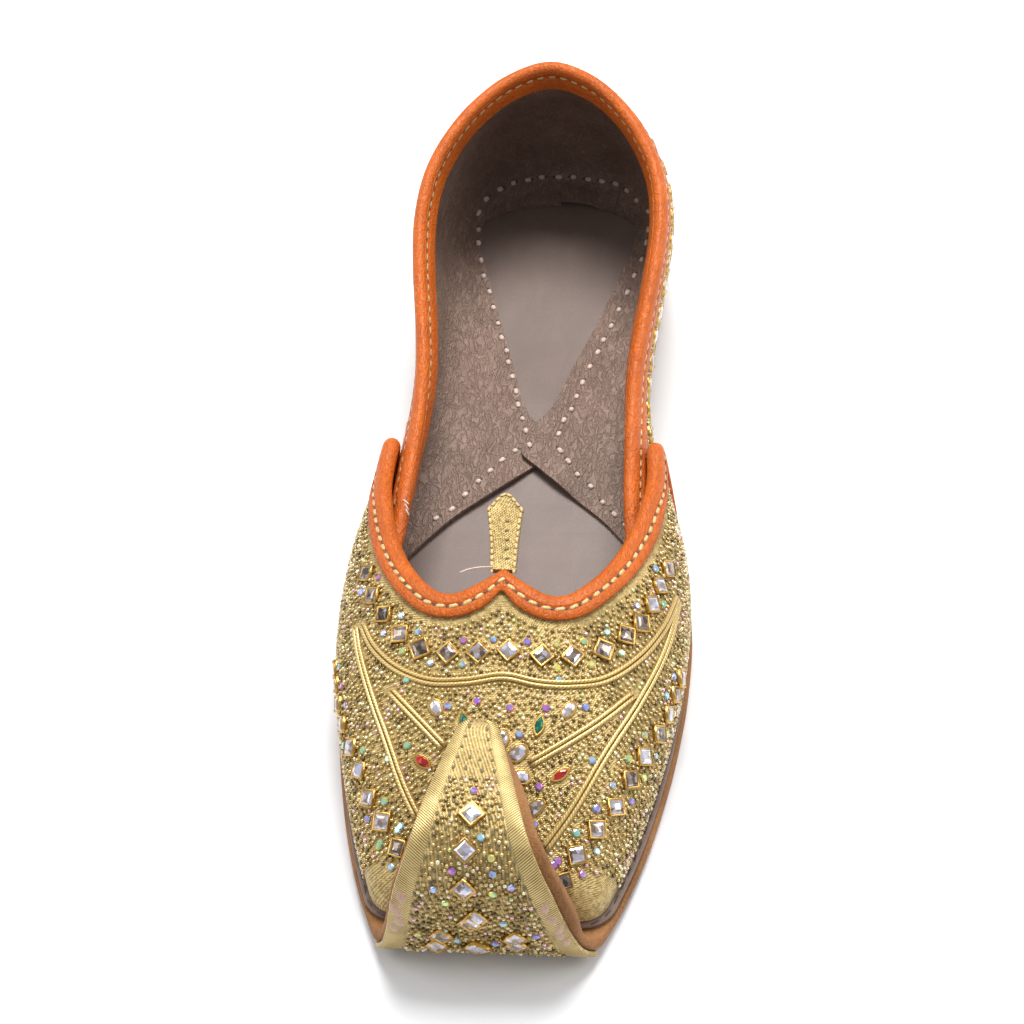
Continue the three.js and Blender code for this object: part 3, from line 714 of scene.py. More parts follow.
def braidFinish():
    finish = Finish("ribbed gold braid", metallic=0.5)
    along, across = finish.cloth()
    ribs = (along + across * 0.7).wave(0.55)
    cloudy = finish.noise(finish.spot(), 4, 3)
    tone = ribs * 0.6 + cloudy * 0.5
    base = finish.ramp(tone, *goldStops((0.2, "shade"), (0.5, "mid"), (0.95, "light")))
    finish.feed(base=base, roughness=0.45, normal=finish.relief(ribs, 0.08, 0.8))
    return finish


# The photo's camera in the shoe's millimetres, which also places the stones, cords and stitches
photoCamera = {
    "place": (60.164, -258.063, 466.475),
    "right": (0.999327, 0.035748, -0.008239),
    "up": (-0.022228, 0.768721, 0.639198),
    "ahead": (-0.029184, 0.638584, -0.768998),
    "focus": 1775,
    "middle": (529.5, 516.1),
    "aimedAt": (389.5, 513),
    "lens": 83,
}


def photoRay(x, y):
    right, up, ahead = (Vector(photoCamera[name]) for name in ("right", "up", "ahead"))
    focus, middle = photoCamera["focus"], photoCamera["middle"]
    ray = ahead + right * ((x - middle[0]) / focus) - up * ((y - middle[1]) / focus)
    return ray.normalized()


def treeOf(*pieces):
    points, faces = [], []
    for piece in pieces:
        first = len(points)
        for vertex in piece.data.vertices:
            x, y, z = vertex.co
            points.append(Vector((x * 1000, y * 1000 + shiftAt, z * 1000)))
        faces += [[first + corner for corner in face.vertices] for face in piece.data.polygons]
    return BVHTree.FromPolygons(points, faces)


# Place and normal on a piece: where the photo's camera sees it, or nearest to a point
def seen(tree, x, y):
    place, normal, _, _ = tree.ray_cast(Vector(photoCamera["place"]), photoRay(x, y))
    return None if place is None else (place, normal)


def nearest(tree, point):
    place, normal, _, _ = tree.find_nearest(point)
    return place, normal


def seenRow(tree, marks, mirror=False):
    spots = [spot for spot in (seen(tree, x, y) for x, y in marks) if spot]
    if mirror:
        spots = [nearest(tree, Vector((-place.x, place.y, place.z))) for place, _ in spots]
    return spots


def runLengths(points):
    lengths = [0.0]
    for a, b in zip(points, points[1:]):
        lengths.append(lengths[-1] + (b - a).length)
    return lengths


# What a list of vectors says at a distance along the line that has these lengths
def alongLine(values, lengths, distance):
    distance = min(max(distance, 0), lengths[-1])
    k = 0
    while k < len(lengths) - 2 and lengths[k + 1] < distance:
        k += 1
    return values[k].lerp(values[k + 1], (distance - lengths[k]) / max(lengths[k + 1] - lengths[k], 1e-9))


# Even points along a smooth line through some places
def evenLine(places, step):
    parts = 12
    fine = []
    for k in range((len(places) - 1) * parts + 1):
        fine.append(Vector([through([place[axis] for place in places], k / parts) for axis in range(3)]))
    lengths = runLengths(fine)
    count = max(round(lengths[-1] / step), 1)
    return [alongLine(fine, lengths, lengths[-1] * k / count) for k in range(count + 1)]


def tangents(points):
    last = len(points) - 1
    return [(points[min(k + 1, last)] - points[max(k - 1, 0)]).normalized() for k in range(last + 1)]


# Round tube through points, as rings of corners, laid by the direction at each point and one beside it
def tubeRings(points, asides, rises, radius, sides):
    angles = [2 * math.pi * k / sides for k in range(sides)]
    rings = []
    for point, aside, rise in zip(points, asides, rises):
        turns = [aside * math.cos(angle) + rise * math.sin(angle) for angle in angles]
        rings.append([point + turn * radius for turn in turns])
    return rings


# Stations from front to back, closer together at both ends
def stationList(front, back, count):
    return [front + (back - front) * (1 - math.cos(math.pi * k / count)) / 2 for k in range(count + 1)]


# Section with rounded corners, as pairs of width and rise, counterclockwise from the lower right
def roundedSection(half, low, high, radius, steps, across):
    radius = min(radius, half * 0.45, (high - low) * 0.49)
    points = []
    corners = [(half - radius, low + radius, -90), (half - radius, high - radius, 0),
               (radius - half, high - radius, 90), (radius - half, low + radius, 180)]
    for number, (x, y, start) in enumerate(corners):  # flat sides follow the second and last corner
        for k in range(steps + 1):
            angle = math.radians(start + 90 * k / steps)
            points.append((x + radius * math.cos(angle), y + radius * math.sin(angle)))
        if number in (1, 3):
            side = 1 if number == 1 else -1
            for k in range(1, across):
                points.append((side * (half - radius) * (1 - 2 * k / across), high if number == 1 else low))
    return points


print("sole")
soleLook = {"edge": 1.1, "curlEdge": 0.8, "plateRings": 110, "curlSteps": 6, "lip": 1.9, "across": 6}


def curlFrame(index):
    def row(name, place):
        return through([entry[name] for entry in curlRows], min(max(place, 0), len(curlRows) - 1))

    after, before = index + 0.05, index - 0.05
    tangent = Vector((row(0, after) - row(0, before), row(1, after) - row(1, before)))
    tangent.normalize()
    return row(0, index), row(1, index), row(2, index), row(3, index), Vector((tangent.y, -tangent.x))


def curlRing(index, section):
    at, height, _, lean, inner = curlFrame(index)
    return [Vector((lean + x, at + inner.x * rise, height + inner.y * rise)) for x, rise in section]


def soleRings():
    rings = []
    for at in stationList(form["heelBack"] - 0.02, curlRows[0][0] + 4, soleLook["plateRings"]):
        low, high = soleBottom(at), soleTop(at)
        section = roundedSection(soleHalf(at), low, high, soleLook["edge"], 3, soleLook["across"])
        rings.append([Vector((x, at, z)) for x, z in section])
    last = len(curlRows) - 1
    for k in range(last * soleLook["curlSteps"] + 1):
        index = k / soleLook["curlSteps"]
        half = curlFrame(index)[2]
        leather = mixed(form["foreSole"], form["curlLeather"], min(index / 3, 1)) / 2
        section = roundedSection(half, -leather, leather, soleLook["curlEdge"], 3, soleLook["across"])
        lip = soleLook["lip"] * ease(3, 5, index) * (1 - ease(9, 11.5, index))
        rings.append(curlRing(index, [(x + lip * max(x / half, 0), rise) for x, rise in section]))
    return rings


soleFinish = leatherFinish(
    "brown sole leather", (0.17, 0.072, 0.024), (0.43, 0.205, 0.075),
    grain=0.6, wrinkle=2.5, roughness=0.75, blotch=14, depth=0.4)
addPiece("sole_leather", ringMesh(soleRings()), [soleFinish], ["outsole"])

print("edge strip")
stripLook = {"front": 5.0, "inset": 0.8, "rings": 110}


def stripRings():
    count = stripLook["rings"]
    inner = form["wall"] - 0.1
    outers = stationList(stripLook["front"], form["heelBack"] - stripLook["inset"], count)
    inners = stationList(form["toeFront"] + inner, form["heelBack"] - form["heelRim"] - inner, count)
    sides = {1: [], -1: []}
    for k in range(count + 1):
        outer, inside = outers[k], inners[k]
        outHalf = insetHalf(outer, stripLook["inset"] - rim(outer), stripLook["front"])
        inHalf = insetHalf(inside, inner, form["toeFront"] + inner)
        low, high = soleTop(outer) + form["gap"], soleTop(outer) + form["gap"] + form["stripHeight"]
        middle = (low + high) / 2
        for side in sides:
            a, b = Vector((side * outHalf, outer, 0)), Vector((side * inHalf, inside, 0))
            upper = [(1, high), (0.25, high), (0.08, high - 0.25)]
            section = upper + [(0, middle), (0.08, low + 0.25), (0.25, low), (1, low)]
            sides[side].append([a.lerp(b, share) + Vector((0, 0, z)) for share, z in section])
    return sides[1] + sides[-1][-2:0:-1]


stripFinish = leatherFinish(
    "taupe edge leather", (0.16, 0.105, 0.08), (0.3, 0.215, 0.175), grain=0.45, wrinkle=1.6, roughness=0.6)
strip = ringMesh(stripRings(), closedAlong=True)
addPiece("edge_strip_leather", strip, [stripFinish], ["edge_strip"])

print("upper")
upperLook = {
    "cloth": 1.15, "liningFrom": -1.2, "liningTo": -2.0,
    "edgeSteps": 3, "rows": 26, "crowding": 1.3, "quarterSteps": 7,
}


# A place past the peak is the mirror of one before it
def sideOf(position):
    return (position, 1) if position <= peak else (2 * peak - position, -1)


def vampRow(position):
    index, side = sideOf(position)
    edge = vampEdge(index)
    foot = max(edgeAt(index, 2), form["toeFront"] + 0.02)
    footUp = min(max(edgeAt(index, 3), 0), 1)
    points, normals = [], []
    for k in range(upperLook["rows"] + 1):
        share = (k / upperLook["rows"]) ** upperLook["crowding"]
        at, up = mixed(foot, edge[0], share), mixed(footUp, edge[1], share)
        point, normal, _, _ = vampFrame(max(at, form["toeFront"] + 0.25), min(max(up, 0.004), 0.999))
        point = vampPoint(at, up)
        point.z = max(point.z, feather(at) - 0.1)
        point.x, normal.x = side * point.x, side * normal.x
        points.append(point)
        normals.append(normal)
    return points, normals


def quarterGridRow(index):
    ups = [k / upperLook["rows"] for k in range(upperLook["rows"] + 1)]
    return [quarterPoint(index, up) for up in ups], [quarterFrame(index, up)[1] for up in ups]


vampGrid = [vampRow(k / upperLook["edgeSteps"]) for k in range(2 * peak * upperLook["edgeSteps"] + 1)]
steps = upperLook["quarterSteps"]
quarterGrid = [quarterGridRow(k / steps) for k in range(quarterEnd * steps + 1)]
goldCloth = goldClothFinish("gold zari cloth", 0.07)
tabCloth = goldClothFinish("close gold cloth", 0.0)
# the lining's creases get painted shade
liningFinish = leatherFinish(
    "taupe lining leather", (0.16, 0.102, 0.076), (0.38, 0.262, 0.207),
    grain=0.45, wrinkle=1.1, roughness=0.5, coat=0.05, depth=0.5, creaseShade=0.32)


def sheet(grid, outer, inner):
    return ringMesh([sheetRing(points, normals, outer, inner) for points, normals in grid])


vampSheet, quarterSheet = (sheet(grid, 0, -upperLook["cloth"]) for grid in (vampGrid, quarterGrid))
vampCloth = addPiece("vamp_cloth", vampSheet, [goldCloth], ["upper"], 50)
quarterCloth = addPiece("quarter_cloth", quarterSheet, [goldCloth, liningFinish], (), 50)
for face in quarterCloth.data.polygons:  # its inner side shows the lining's leather
    face.material_index = 1 if face.normal.x * face.center.x < 0 else 0
lining = sheet(vampGrid, upperLook["liningFrom"], upperLook["liningTo"])
addPiece("vamp_lining", lining, [liningFinish], (), 50)

print("lining")
liningLook = {
    "thick": 0.9, "fillet": 5.5, "wallRows": 24, "bedRows": 18, "steps": 16,
    "lift": 1.45, "liftFrom": 6, "liftTo": 13, "frontLift": 0.7, "frontFrom": 132, "frontTo": 140,
    "puff": 1.7, "puffAt": 7, "puffFrom": 8, "puffTo": 20, "crease": 0.22,
}
heelFlapRows = flapRows[:-1] + [(228, 226.4, 21.6), (236, 231.5, 17.5), (243, 234.6, 9.5), (247.4, 235.8, 0)]


# A row of the lining from the topline down the wall, round a soft turn and over the footbed to its free edge
def liningRow(index):
    look = liningLook
    mirrored = index > quarterMiddle
    own = quarterEnd - index if mirrored else index
    foot = min(quarterRow(own, 0), form["heelBack"] - form["heelRim"])
    wallSide = []
    for k in range(look["wallRows"] + 1):
        up = mixed(1, 0.02, k / look["wallRows"])
        point, normal, _, alongV = quarterFrame(own, up)
        drop = (1 - up) * alongV.length
        puff = look["puff"] * ease(1, look["puffAt"], drop)
        puff *= 1 - ease(look["puffFrom"], look["puffTo"], drop)
        wallSide.append((point + normal * (upperLook["liningTo"] * 0.9 - puff), normal))
    key = max(foot, heelFlapRows[0][0])
    freeAt, freeHalf = column(heelFlapRows, 1, key), column(heelFlapRows, 2, key)
    corner = Vector((wallSide[-1][0].x, wallSide[-1][0].y, 0))
    free = Vector((freeHalf, freeAt, 0))
    toFree = (free - corner).normalized()
    bed = []
    for k in range(1, look["bedRows"] + 1):
        place = corner.lerp(free, k / look["bedRows"])
        over = look["lift"] * (1 - ease(look["liftFrom"], look["liftTo"], place.x))
        if mirrored:
            fade = 1 - ease(look["frontFrom"], look["frontTo"], freeAt)
            over = look["frontLift"] * fade * (k / look["bedRows"])
        place.z = insoleTop(place.y) + form["gap"] + look["thick"] + over
        bed.append(place)
    corner.z = insoleTop(corner.y) + form["gap"] + look["thick"]
    wallSide = [(point, -normal) for point, normal in wallSide if point.z > corner.z + 0.2]
    up = Vector((0, 0, 1))
    line = [point for point, _ in wallSide] + [corner] + bed
    normals = [normal for _, normal in wallSide] + [(up + toFree).normalized()] + [up] * len(bed)
    count = look["wallRows"] + look["bedRows"]
    points, turned = smoothLine(line, normals, count, look["fillet"])
    for k, (point, normal) in enumerate(zip(points, turned)):  # wrinkles, fading out at both edges
        fine = noise.noise(Vector((k * 0.9, point.y * 0.12, 5.0 if mirrored else 9.0)))
        broad = noise.noise(Vector((k * 0.35, point.y * 0.09, 2.0 if mirrored else 7.0)))
        fade = min(k / 3, (count - k) / 3, 1)
        points[k] = point + normal * (fine + broad * 1.4) * look["crease"] * fade
    if mirrored:
        for item in points + turned:
            item.x = -item.x
    return points, turned


# Even points along a line whose sharp turn is rounded, with normals that follow
def smoothLine(line, normals, count, radius):
    lengths = runLengths(line)
    points, turned = [], []
    for k in range(count + 1):
        distance = lengths[-1] * k / count
        near = min(radius, distance, lengths[-1] - distance)
        spots = [distance + near * share for share in (-1, -0.5, 0, 0.5, 1)]
        points.append(sum((alongLine(line, lengths, spot) for spot in spots), Vector()) / len(spots))
        turned.append(sum((alongLine(normals, lengths, spot) for spot in spots), Vector()).normalized())
    return points, turned


steps = liningLook["steps"]
lining = sheet([liningRow(k / steps) for k in range(quarterEnd * steps + 1)], 0, -liningLook["thick"])
flaps = ["lining_flap_left", "lining_flap_right"]
addPiece("quarter_lining", lining, [liningFinish], flaps, 50)
insoleFinish = leatherFinish(
    "smooth taupe insole", (0.15, 0.107, 0.088), (0.25, 0.187, 0.158),
    grain=0.35, wrinkle=6, roughness=0.42, coat=0.12, blotch=20, depth=0.1)
frame["nodes"]["insole"].data.materials.clear()
frame["nodes"]["insole"].data.materials.append(insoleFinish.material)

print("bindings")
bindingLook = {
    "quarterDepth": 6, "vampDepth": 4.4, "cornerDepth": 3.2, "lip": 2, "gap": 0.4, "leather": 0.8,
    "reach": 1.9, "groove": 0.5, "stitchAt": 1.75, "slim": 0.5, "lean": 1.9,
    "steps": 4, "quarterSteps": 8, "first": 4 / 3,
}


# Section of a binding: distance past the wall's edge and distance outside the wall's outer face. That of the
# quarter has a slimmer bead and a band inside that leans inward.
def bindingSection(depth, inside):
    look = bindingLook
    low, outer, reach, wall = look["gap"], look["gap"] + look["leather"], look["reach"], form["wall"]
    banded = inside > look["lip"]
    beadOut, beadIn = outer - 0.05, wall + (look["slim"] if banded else outer - 0.05)
    middle, radius = (beadOut - beadIn) / 2, (beadOut + beadIn) / 2
    dip = outer - look["groove"]
    # the outer flange up to the groove, then the bead, then the inner side
    points = [(-depth, low), (-depth, outer - 0.35), (-depth + 0.3, outer), (-depth * 0.62, outer + 0.06)]
    points += [(-2.5, outer), (-2.0, dip), (-1.5, dip), (-1.1, outer - 0.02)]
    for k in range(9):
        angle = math.pi * k / 8
        points.append((-0.75 + (reach + 0.75) * math.sin(angle) ** 0.8, middle + radius * math.cos(angle)))
    if banded:
        points += [(-1.15, -beadIn), (-1.5, look["groove"] - beadIn), (-2.0, look["groove"] - beadIn - 0.1)]
        points += [(-2.4, -beadIn - 0.45), (-inside * 0.62, -beadIn - 1.15)]
        points += [(-inside + 0.3, -beadIn - look["lean"]), (-inside, -beadIn - look["lean"] + 0.3)]
    else:
        points += [(-1.1, 0.02 - beadIn), (-1.5, look["groove"] - beadIn), (-inside, 0.35 - beadIn)]
    return points + [(-inside, -wall - low), (0.6, -wall - low), (0.6, low)]


# the binding's creases get painted shade
orange = leatherFinish(
    "orange binding leather", (0.4, 0.075, 0.003), (0.68, 0.14, 0.006),
    grain=0.6, wrinkle=1.0, roughness=0.46, coat=0.08, blotch=8, depth=0.25, creaseShade=0.1)


def vampBindingRing(position):
    index, side = sideOf(position)
    look = bindingLook
    depth = mixed(look["cornerDepth"], look["vampDepth"], ease(8, 12, index))
    direction = inwardFrom(index)
    ring = []
    for reach, out in bindingSection(depth, look["lip"]):
        point, normal, _, _ = vampWalk(index, direction, -reach)
        point = point + normal * out
        point.x *= side
        ring.append(point)
    return ring


first, steps = bindingLook["first"], bindingLook["steps"]
rings = [vampBindingRing(first + k / steps) for k in range(round(2 * (peak - first) * steps) + 1)]
vampBinding = addPiece("vamp_binding", ringMesh(rings), [orange], ["binding_vamp"], 60)


def quarterBindingRing(index):
    _, _, _, alongV = quarterFrame(index, 1)
    ring = []
    for reach, out in bindingSection(bindingLook["quarterDepth"], bindingLook["quarterDepth"]):
        point, normal, _, _ = quarterFrame(index, 1 + reach / alongV.length)
        ring.append(point + normal * out)
    return ring


steps = bindingLook["quarterSteps"]
rings = [quarterBindingRing(k / steps) for k in range(quarterEnd * steps + 1)]
quarterBinding = addPiece(
    "quarter_binding", ringMesh(rings), [orange], ["binding_quarter"], 60)

print("tab and toe curl")
tabLook = {"thick": 1.4, "rise": 0.15, "from": 1.5, "steps": 4, "edge": 0.45, "seamSide": 0.5, "seamEnd": 0.4}
tabEdge = vampPoint(throatRows[-1][0], 1)


def tabRings():
    rings = []
    last = len(tabRows) - 1
    for k in range(last * tabLook["steps"] + 1):
        row = k / tabLook["steps"]
        whole = min(int(row), last - 1)
        start, half, lean = [mixed(a, b, row - whole) for a, b in zip(tabRows[whole], tabRows[whole + 1])]
        high = tabEdge.z + tabLook["rise"] * start
        section = roundedSection(half, high - tabLook["thick"], high, tabLook["edge"], 2, 6)
        rings.append([Vector((lean + x, tabEdge.y + tabLook["from"] + start, z)) for x, z in section])
    return rings


addPiece("tab_cloth", ringMesh(tabRings()), [tabCloth], ["throat_tab"])
coverLook = {"thick": 1.2, "start": 2, "steps": 6, "inset": 0.4, "edge": 0.5, "across": 10}


def coverRings():
    rings = []
    outer = -form["curlLeather"] / 2 - form["gap"]
    last = len(curlRows) - 1
    for k in range((last - coverLook["start"]) * coverLook["steps"] + 1):
        index = coverLook["start"] + k / coverLook["steps"]
        half = curlFrame(index)[2] - coverLook["inset"]
        inner = outer - coverLook["thick"]
        section = roundedSection(half, inner, outer, coverLook["edge"], 2, coverLook["across"])
        rings.append(curlRing(index, section))
    return rings


curlCover = addPiece("curl_cloth", ringMesh(coverRings()), [goldCloth], ["curl_cover"])

print("stones")
taken = []  # what the beads keep clear of: place and distance
jewels = {name: ([], []) for name in ("square", "round", "oval", "green", "red")}
chance = random.Random(7)
vampTree = treeOf(vampCloth)
quarterTree = treeOf(quarterCloth)
curlTree = treeOf(curlCover)
stoneLook = {
    "squareHalf": 2.95, "squareClear": 2.5, "roundHalf": 1.05, "roundClear": 1.35,
    "cutHigh": 1.6, "cutClear": 0.6,
}
sideways = Vector((1, 0, 0))


def setJewel(kind, spot, along, size, tone, clear):
    place, normal = spot
    tilt = Vector([chance.uniform(-0.1, 0.1) for _ in range(3)])
    jewels[kind][0].append(setDown(place, normal + tilt, along, size, 0.1))
    jewels[kind][1].append(tone)
    taken.append((place, clear))


def setSquare(spot, along=sideways, scale=1):
    size = stoneLook["squareHalf"] * scale
    setJewel("square", spot, along, size, chance.random(), stoneLook["squareClear"])


def setRound(spot, tone, along=sideways, scale=1):
    setJewel("round", spot, along, stoneLook["roundHalf"] * scale, tone, stoneLook["roundClear"])


def setCut(kind, spot, along, long, wide, tone):
    clear = (long + wide) / 2 + stoneLook["cutClear"]
    setJewel(kind, spot, along, (long, wide, stoneLook["cutHigh"]), tone, clear)


def squareRow(spots):
    for spot, along in zip(spots, tangents([place for place, _ in spots])):
        setSquare(spot, along, chance.uniform(0.94, 1.04))


# Small round stones between the squares of a row, on its two sides by turns
def roundsBetween(tree, spots, reach, share=0.8):
    for number, (a, b) in enumerate(zip(spots, spots[1:])):
        for side in (1, -1):
            if chance.random() > share:
                continue
            along = (b[0] - a[0]).normalized()
            aside = a[1].cross(along).normalized() * reach * side
            scale = chance.uniform(0.85, 1.1)
            setRound(nearest(tree, (a[0] + b[0]) / 2 + aside), chance.random(), along, scale)


throatMarks = [
    (280, 560), (284, 577), (293, 591), (305, 606), (320, 617), (341, 620), (364, 619), (387, 618),
    (412, 622), (435, 622), (458, 617), (475, 606), (486, 597), (494, 583), (500, 569), (506, 556),
]
rightMarks = [
    (515, 638), (511, 650), (506, 665), (499, 680), (488, 697), (478, 714), (467, 735), (453, 752),
    (438, 771), (428, 791),
]
for marks, mirror, reach in ((throatMarks, False, 2.9), (rightMarks, False, 3.1), (rightMarks, True, 3.1)):
    row = seenRow(vampTree, marks, mirror)
    squareRow(row)
    roundsBetween(vampTree, row, reach)

# kind, photo place, half length, half width, turn in the photo, tone
motif = [
    ("green", 353, 671, 2.5, 1.15, 95, 0.6), ("green", 410, 674, 2.9, 1.3, 75, 0.3),
    ("red", 322, 702, 2.7, 1.35, -35, 0.5), ("red", 426, 711, 2.8, 1.2, 35, 0.5),
    ("oval", 332, 661, 2.3, 1.6, -60, 0.8), ("oval", 432, 662, 2.5, 1.5, 50, 0.9),
    ("oval", 382, 684, 2.4, 1.7, 80, 0.5), ("oval", 394, 695, 2.7, 1.9, 40, 0.8),
    ("oval", 397, 713, 2.3, 1.8, -15, 0.7), ("oval", 407, 736, 2.8, 1.6, 40, 0.6),
]
rounds = [
    (341, 660, 0.15), (363, 656, 0.02), (388, 661, 0.03), (415, 661, 0.08), (445, 660, 0.22), (395, 681, 0.3),
    (410, 720, 0.05), (406, 749, 0.2), (310, 690, 0.7), (303, 754, 0.6), (289, 766, 0.65), (421, 779, 0.05),
    (425, 640, 0.5), (310, 640, 0.7), (296, 700, 0.45), (450, 700, 0.4),
]


# Direction on a piece of what is turned by some degrees in the photo
def seenTurn(tree, x, y, turn):
    right, up = 2.5 * math.cos(math.radians(turn)), 2.5 * math.sin(math.radians(turn))
    return (seen(tree, x + right, y - up)[0] - seen(tree, x - right, y + up)[0]).normalized()


for kind, x, y, long, wide, turn, tone in motif:
    setCut(kind, seen(vampTree, x, y), seenTurn(vampTree, x, y, turn), long, wide, tone)
for x, y, tone in rounds:
    setRound(seen(vampTree, x, y), tone)

flapSquares = [(359, 742), (354, 768), (353, 797), (358, 822), (333, 839), (362, 840), (393, 838)]
flapRounds = [
    (361, 724, 0.08), (366, 759, 0.35), (374, 774, 0.85), (344, 784, 0.05), (375, 786, 0.2), (330, 798, 0.2),
    (339, 808, 0.8), (375, 801, 0.85), (389, 796, 0.1), (383, 823, 0.45), (338, 829, 0.5), (377, 838, 0.25),
    (348, 836, 0.5), (408, 832, 0.15), (318, 832, 0.9),
]
for x, y in flapSquares:
    setSquare(seen(curlTree, x, y))
for x, y, tone in flapRounds:
    setRound(seen(curlTree, x, y), tone)


# Outer face of the toe curl's cloth: index along the curl and distance from the middle
def coverSpot(index, x):
    at, height, _, lean, inner = curlFrame(index)
    rise = -form["curlLeather"] / 2 - form["gap"] - coverLook["thick"]
    return Vector((lean + x, at + inner.x * rise, height + inner.y * rise)), Vector((0, -inner.x, -inner.y))


for index, across in ((5.1, 0), (4.1, -8), (4.1, 8), (3.3, 0)):
    setSquare(coverSpot(index, across))

print("quarter pattern")


# Rows on the quarter, laid out in millimetres: distance below the topline or height above the floor
def quarterSpot(index, height=None, drop=None):
    point, normal, _, alongV = quarterFrame(index, 1)
    if drop is not None:
        up = 1 - drop / alongV.length
    else:
        low = quarterPoint(index, 0).z
        up = (height - low) / (point.z - low)
    place, normal, _, _ = quarterFrame(index, up)
    return place, normal


def quarterRowSpots(step, first, **where):
    fine = 240
    spots = [quarterSpot(first + (quarterEnd - 2 * first) * k / fine, **where) for k in range(fine + 1)]
    lengths = runLengths([place for place, _ in spots])
    count = round(lengths[-1] / step)
    targets = [lengths[-1] * k / count for k in range(count + 1)]
    return [spots[min(range(fine + 1), key=lambda j: abs(lengths[j] - target))] for target in targets]


for step, first, where in ((7.2, 3.3, {"drop": 11.2}), (7.4, 2.6, {"height": 11.8})):
    row = quarterRowSpots(step, first, **where)
    squareRow(row)
    roundsBetween(quarterTree, row, 2.9)

heelMotif = [
    ("oval", 0, 27.5, 2.6, 1.7, 90), ("oval", 0.42, 29.5, 2.6, 1.7, 30), ("oval", -0.42, 29.5, 2.6, 1.7, -30),
    ("oval", 0.38, 24, 2.6, 1.7, -35), ("oval", -0.38, 24, 2.6, 1.7, 35),
    ("green", 1.0, 28.5, 2.8, 1.25, 60), ("green", -1.0, 28.5, 2.8, 1.25, -60),
    ("oval", 1.45, 26.5, 2.7, 1.5, 20), ("oval", -1.45, 26.5, 2.7, 1.5, -20),
    ("red", 1.95, 28, 2.8, 1.25, 10), ("red", -1.95, 28, 2.8, 1.25, -10),
]
for kind, aside, height, long, wide, turn in heelMotif:
    spot = quarterSpot(quarterMiddle + aside, height=height)
    flat, up = Vector((0, 0, 1)).cross(spot[1]).normalized(), Vector((0, 0, 1))
    along = flat * math.cos(math.radians(turn)) + up * math.sin(math.radians(turn))
    setCut(kind, spot, along, long, wide, chance.uniform(0.4, 0.9))
heelRounds = {"count": 26, "first": 1.612, "pitch": 0.31, "last": 3, "height": 22, "sway": 3, "turn": 2.1}
for k in range(heelRounds["count"]):
    aside = heelRounds["first"] + heelRounds["pitch"] * k
    height = heelRounds["height"] + heelRounds["sway"] * math.sin(k * heelRounds["turn"])
    for index in (quarterMiddle + aside, quarterMiddle - aside):
        if min(index, quarterEnd - index) > heelRounds["last"]:
            setRound(quarterSpot(index, height=height), chance.random(), Vector((0, 1, 0)))

print("cords")
cordLook = {"radius": 0.52, "apart": 0.57, "step": 1.3, "sides": 6, "lift": 0.3, "clear": 1.65}
vampCordMarks = [
    [(276, 598), (284, 615), (301, 631), (326, 641), (354, 641), (383, 637), (409, 642), (434, 643),
     (460, 639), (485, 623), (503, 601), (513, 578)],
    [(514, 580), (503, 621), (485, 656), (460, 695), (436, 736), (414, 767)],
    [(481, 650), (456, 670), (430, 687), (403, 703)],
    [(297, 648), (316, 668), (338, 691)],
    [(271, 600), (274, 621), (284, 656), (295, 687), (307, 721), (318, 744)],
]
cordMeshes = []
cordLines = []


# A cord is two threads side by side on a piece
def layCord(tree, places):
    spots = [nearest(tree, point) for point in evenLine(places, cordLook["step"])]
    ways = tangents([place for place, _ in spots])
    normals = [normal for _, normal in spots]
    asides = [normal.cross(way).normalized() for normal, way in zip(normals, ways)]
    cordLines.append([(place, aside) for (place, _), aside in zip(spots, asides)])
    for off in (-cordLook["apart"], cordLook["apart"]):
        line = []
        for (place, normal), aside in zip(spots, asides):
            line.append(place + aside * off + normal * cordLook["lift"])
        cordMeshes.append(ringMesh(tubeRings(line, asides, normals, cordLook["radius"], cordLook["sides"])))
    taken.extend((place, cordLook["clear"]) for place, _ in spots)


def joined(shapes):
    whole = bmesh.new()
    for shape in shapes:
        mesh = bpy.data.meshes.new("part")
        shape.to_mesh(mesh)
        shape.free()
        whole.from_mesh(mesh)
        bpy.data.meshes.remove(mesh)
    return whole


for marks in vampCordMarks:
    layCord(vampTree, [place for place, _ in seenRow(vampTree, marks)])
cordGold = cordFinish()
addPiece("vamp_cords", joined(cordMeshes), [cordGold], (), 0)
cordMeshes = []
# distance from the middle of the heel, in rows of the quarter, and height
upperCord = [(0, 34.5), (0.8, 36.5), (2, 38), (3.5, 35.5), (5, 30.5), (6.5, 26), (8, 23), (9.4, 21)]
lowerCord = [(0, 16), (0.8, 18.5), (2, 19.5), (3.5, 18.5), (5, 17), (6.5, 16), (8, 15.5), (9.8, 15)]
for cord in (upperCord, lowerCord):
    whole = [(-aside, height) for aside, height in cord[:0:-1]] + cord
    layCord(quarterTree, [quarterSpot(quarterMiddle + aside, height=height)[0] for aside, height in whole])
addPiece("quarter_cords", joined(cordMeshes), [cordGold], (), 0)

print("beads")
beadLook = {
    "radius": 0.54, "least": 0.82, "most": 1.08, "flat": 0.85, "sink": -0.12, "toneSpread": 0.27,
    "apart": 1.0, "besideCord": 1.75, "cell": 4, "darts": 80000, "curlDarts": 9000,
}
# how far the beads keep from the throat, the wings' lower edges, the sole, the toe, the wings over the
# quarter and the topline, and how the toe's line bends forward in the middle
bare = {
    "throat": 6.3, "wing": 5.4, "sole": 1.2, "toe": 15, "bend": 0.25, "bendHalf": 30,
    "overlap": 1.5, "topline": 7.4,
}
random.seed(11)


def beadShape(shape):
    bmesh.ops.create_uvsphere(shape, u_segments=6, v_segments=4, radius=1)


beadTemplate = templateMesh(beadShape)
beadPearls = beadFinish()


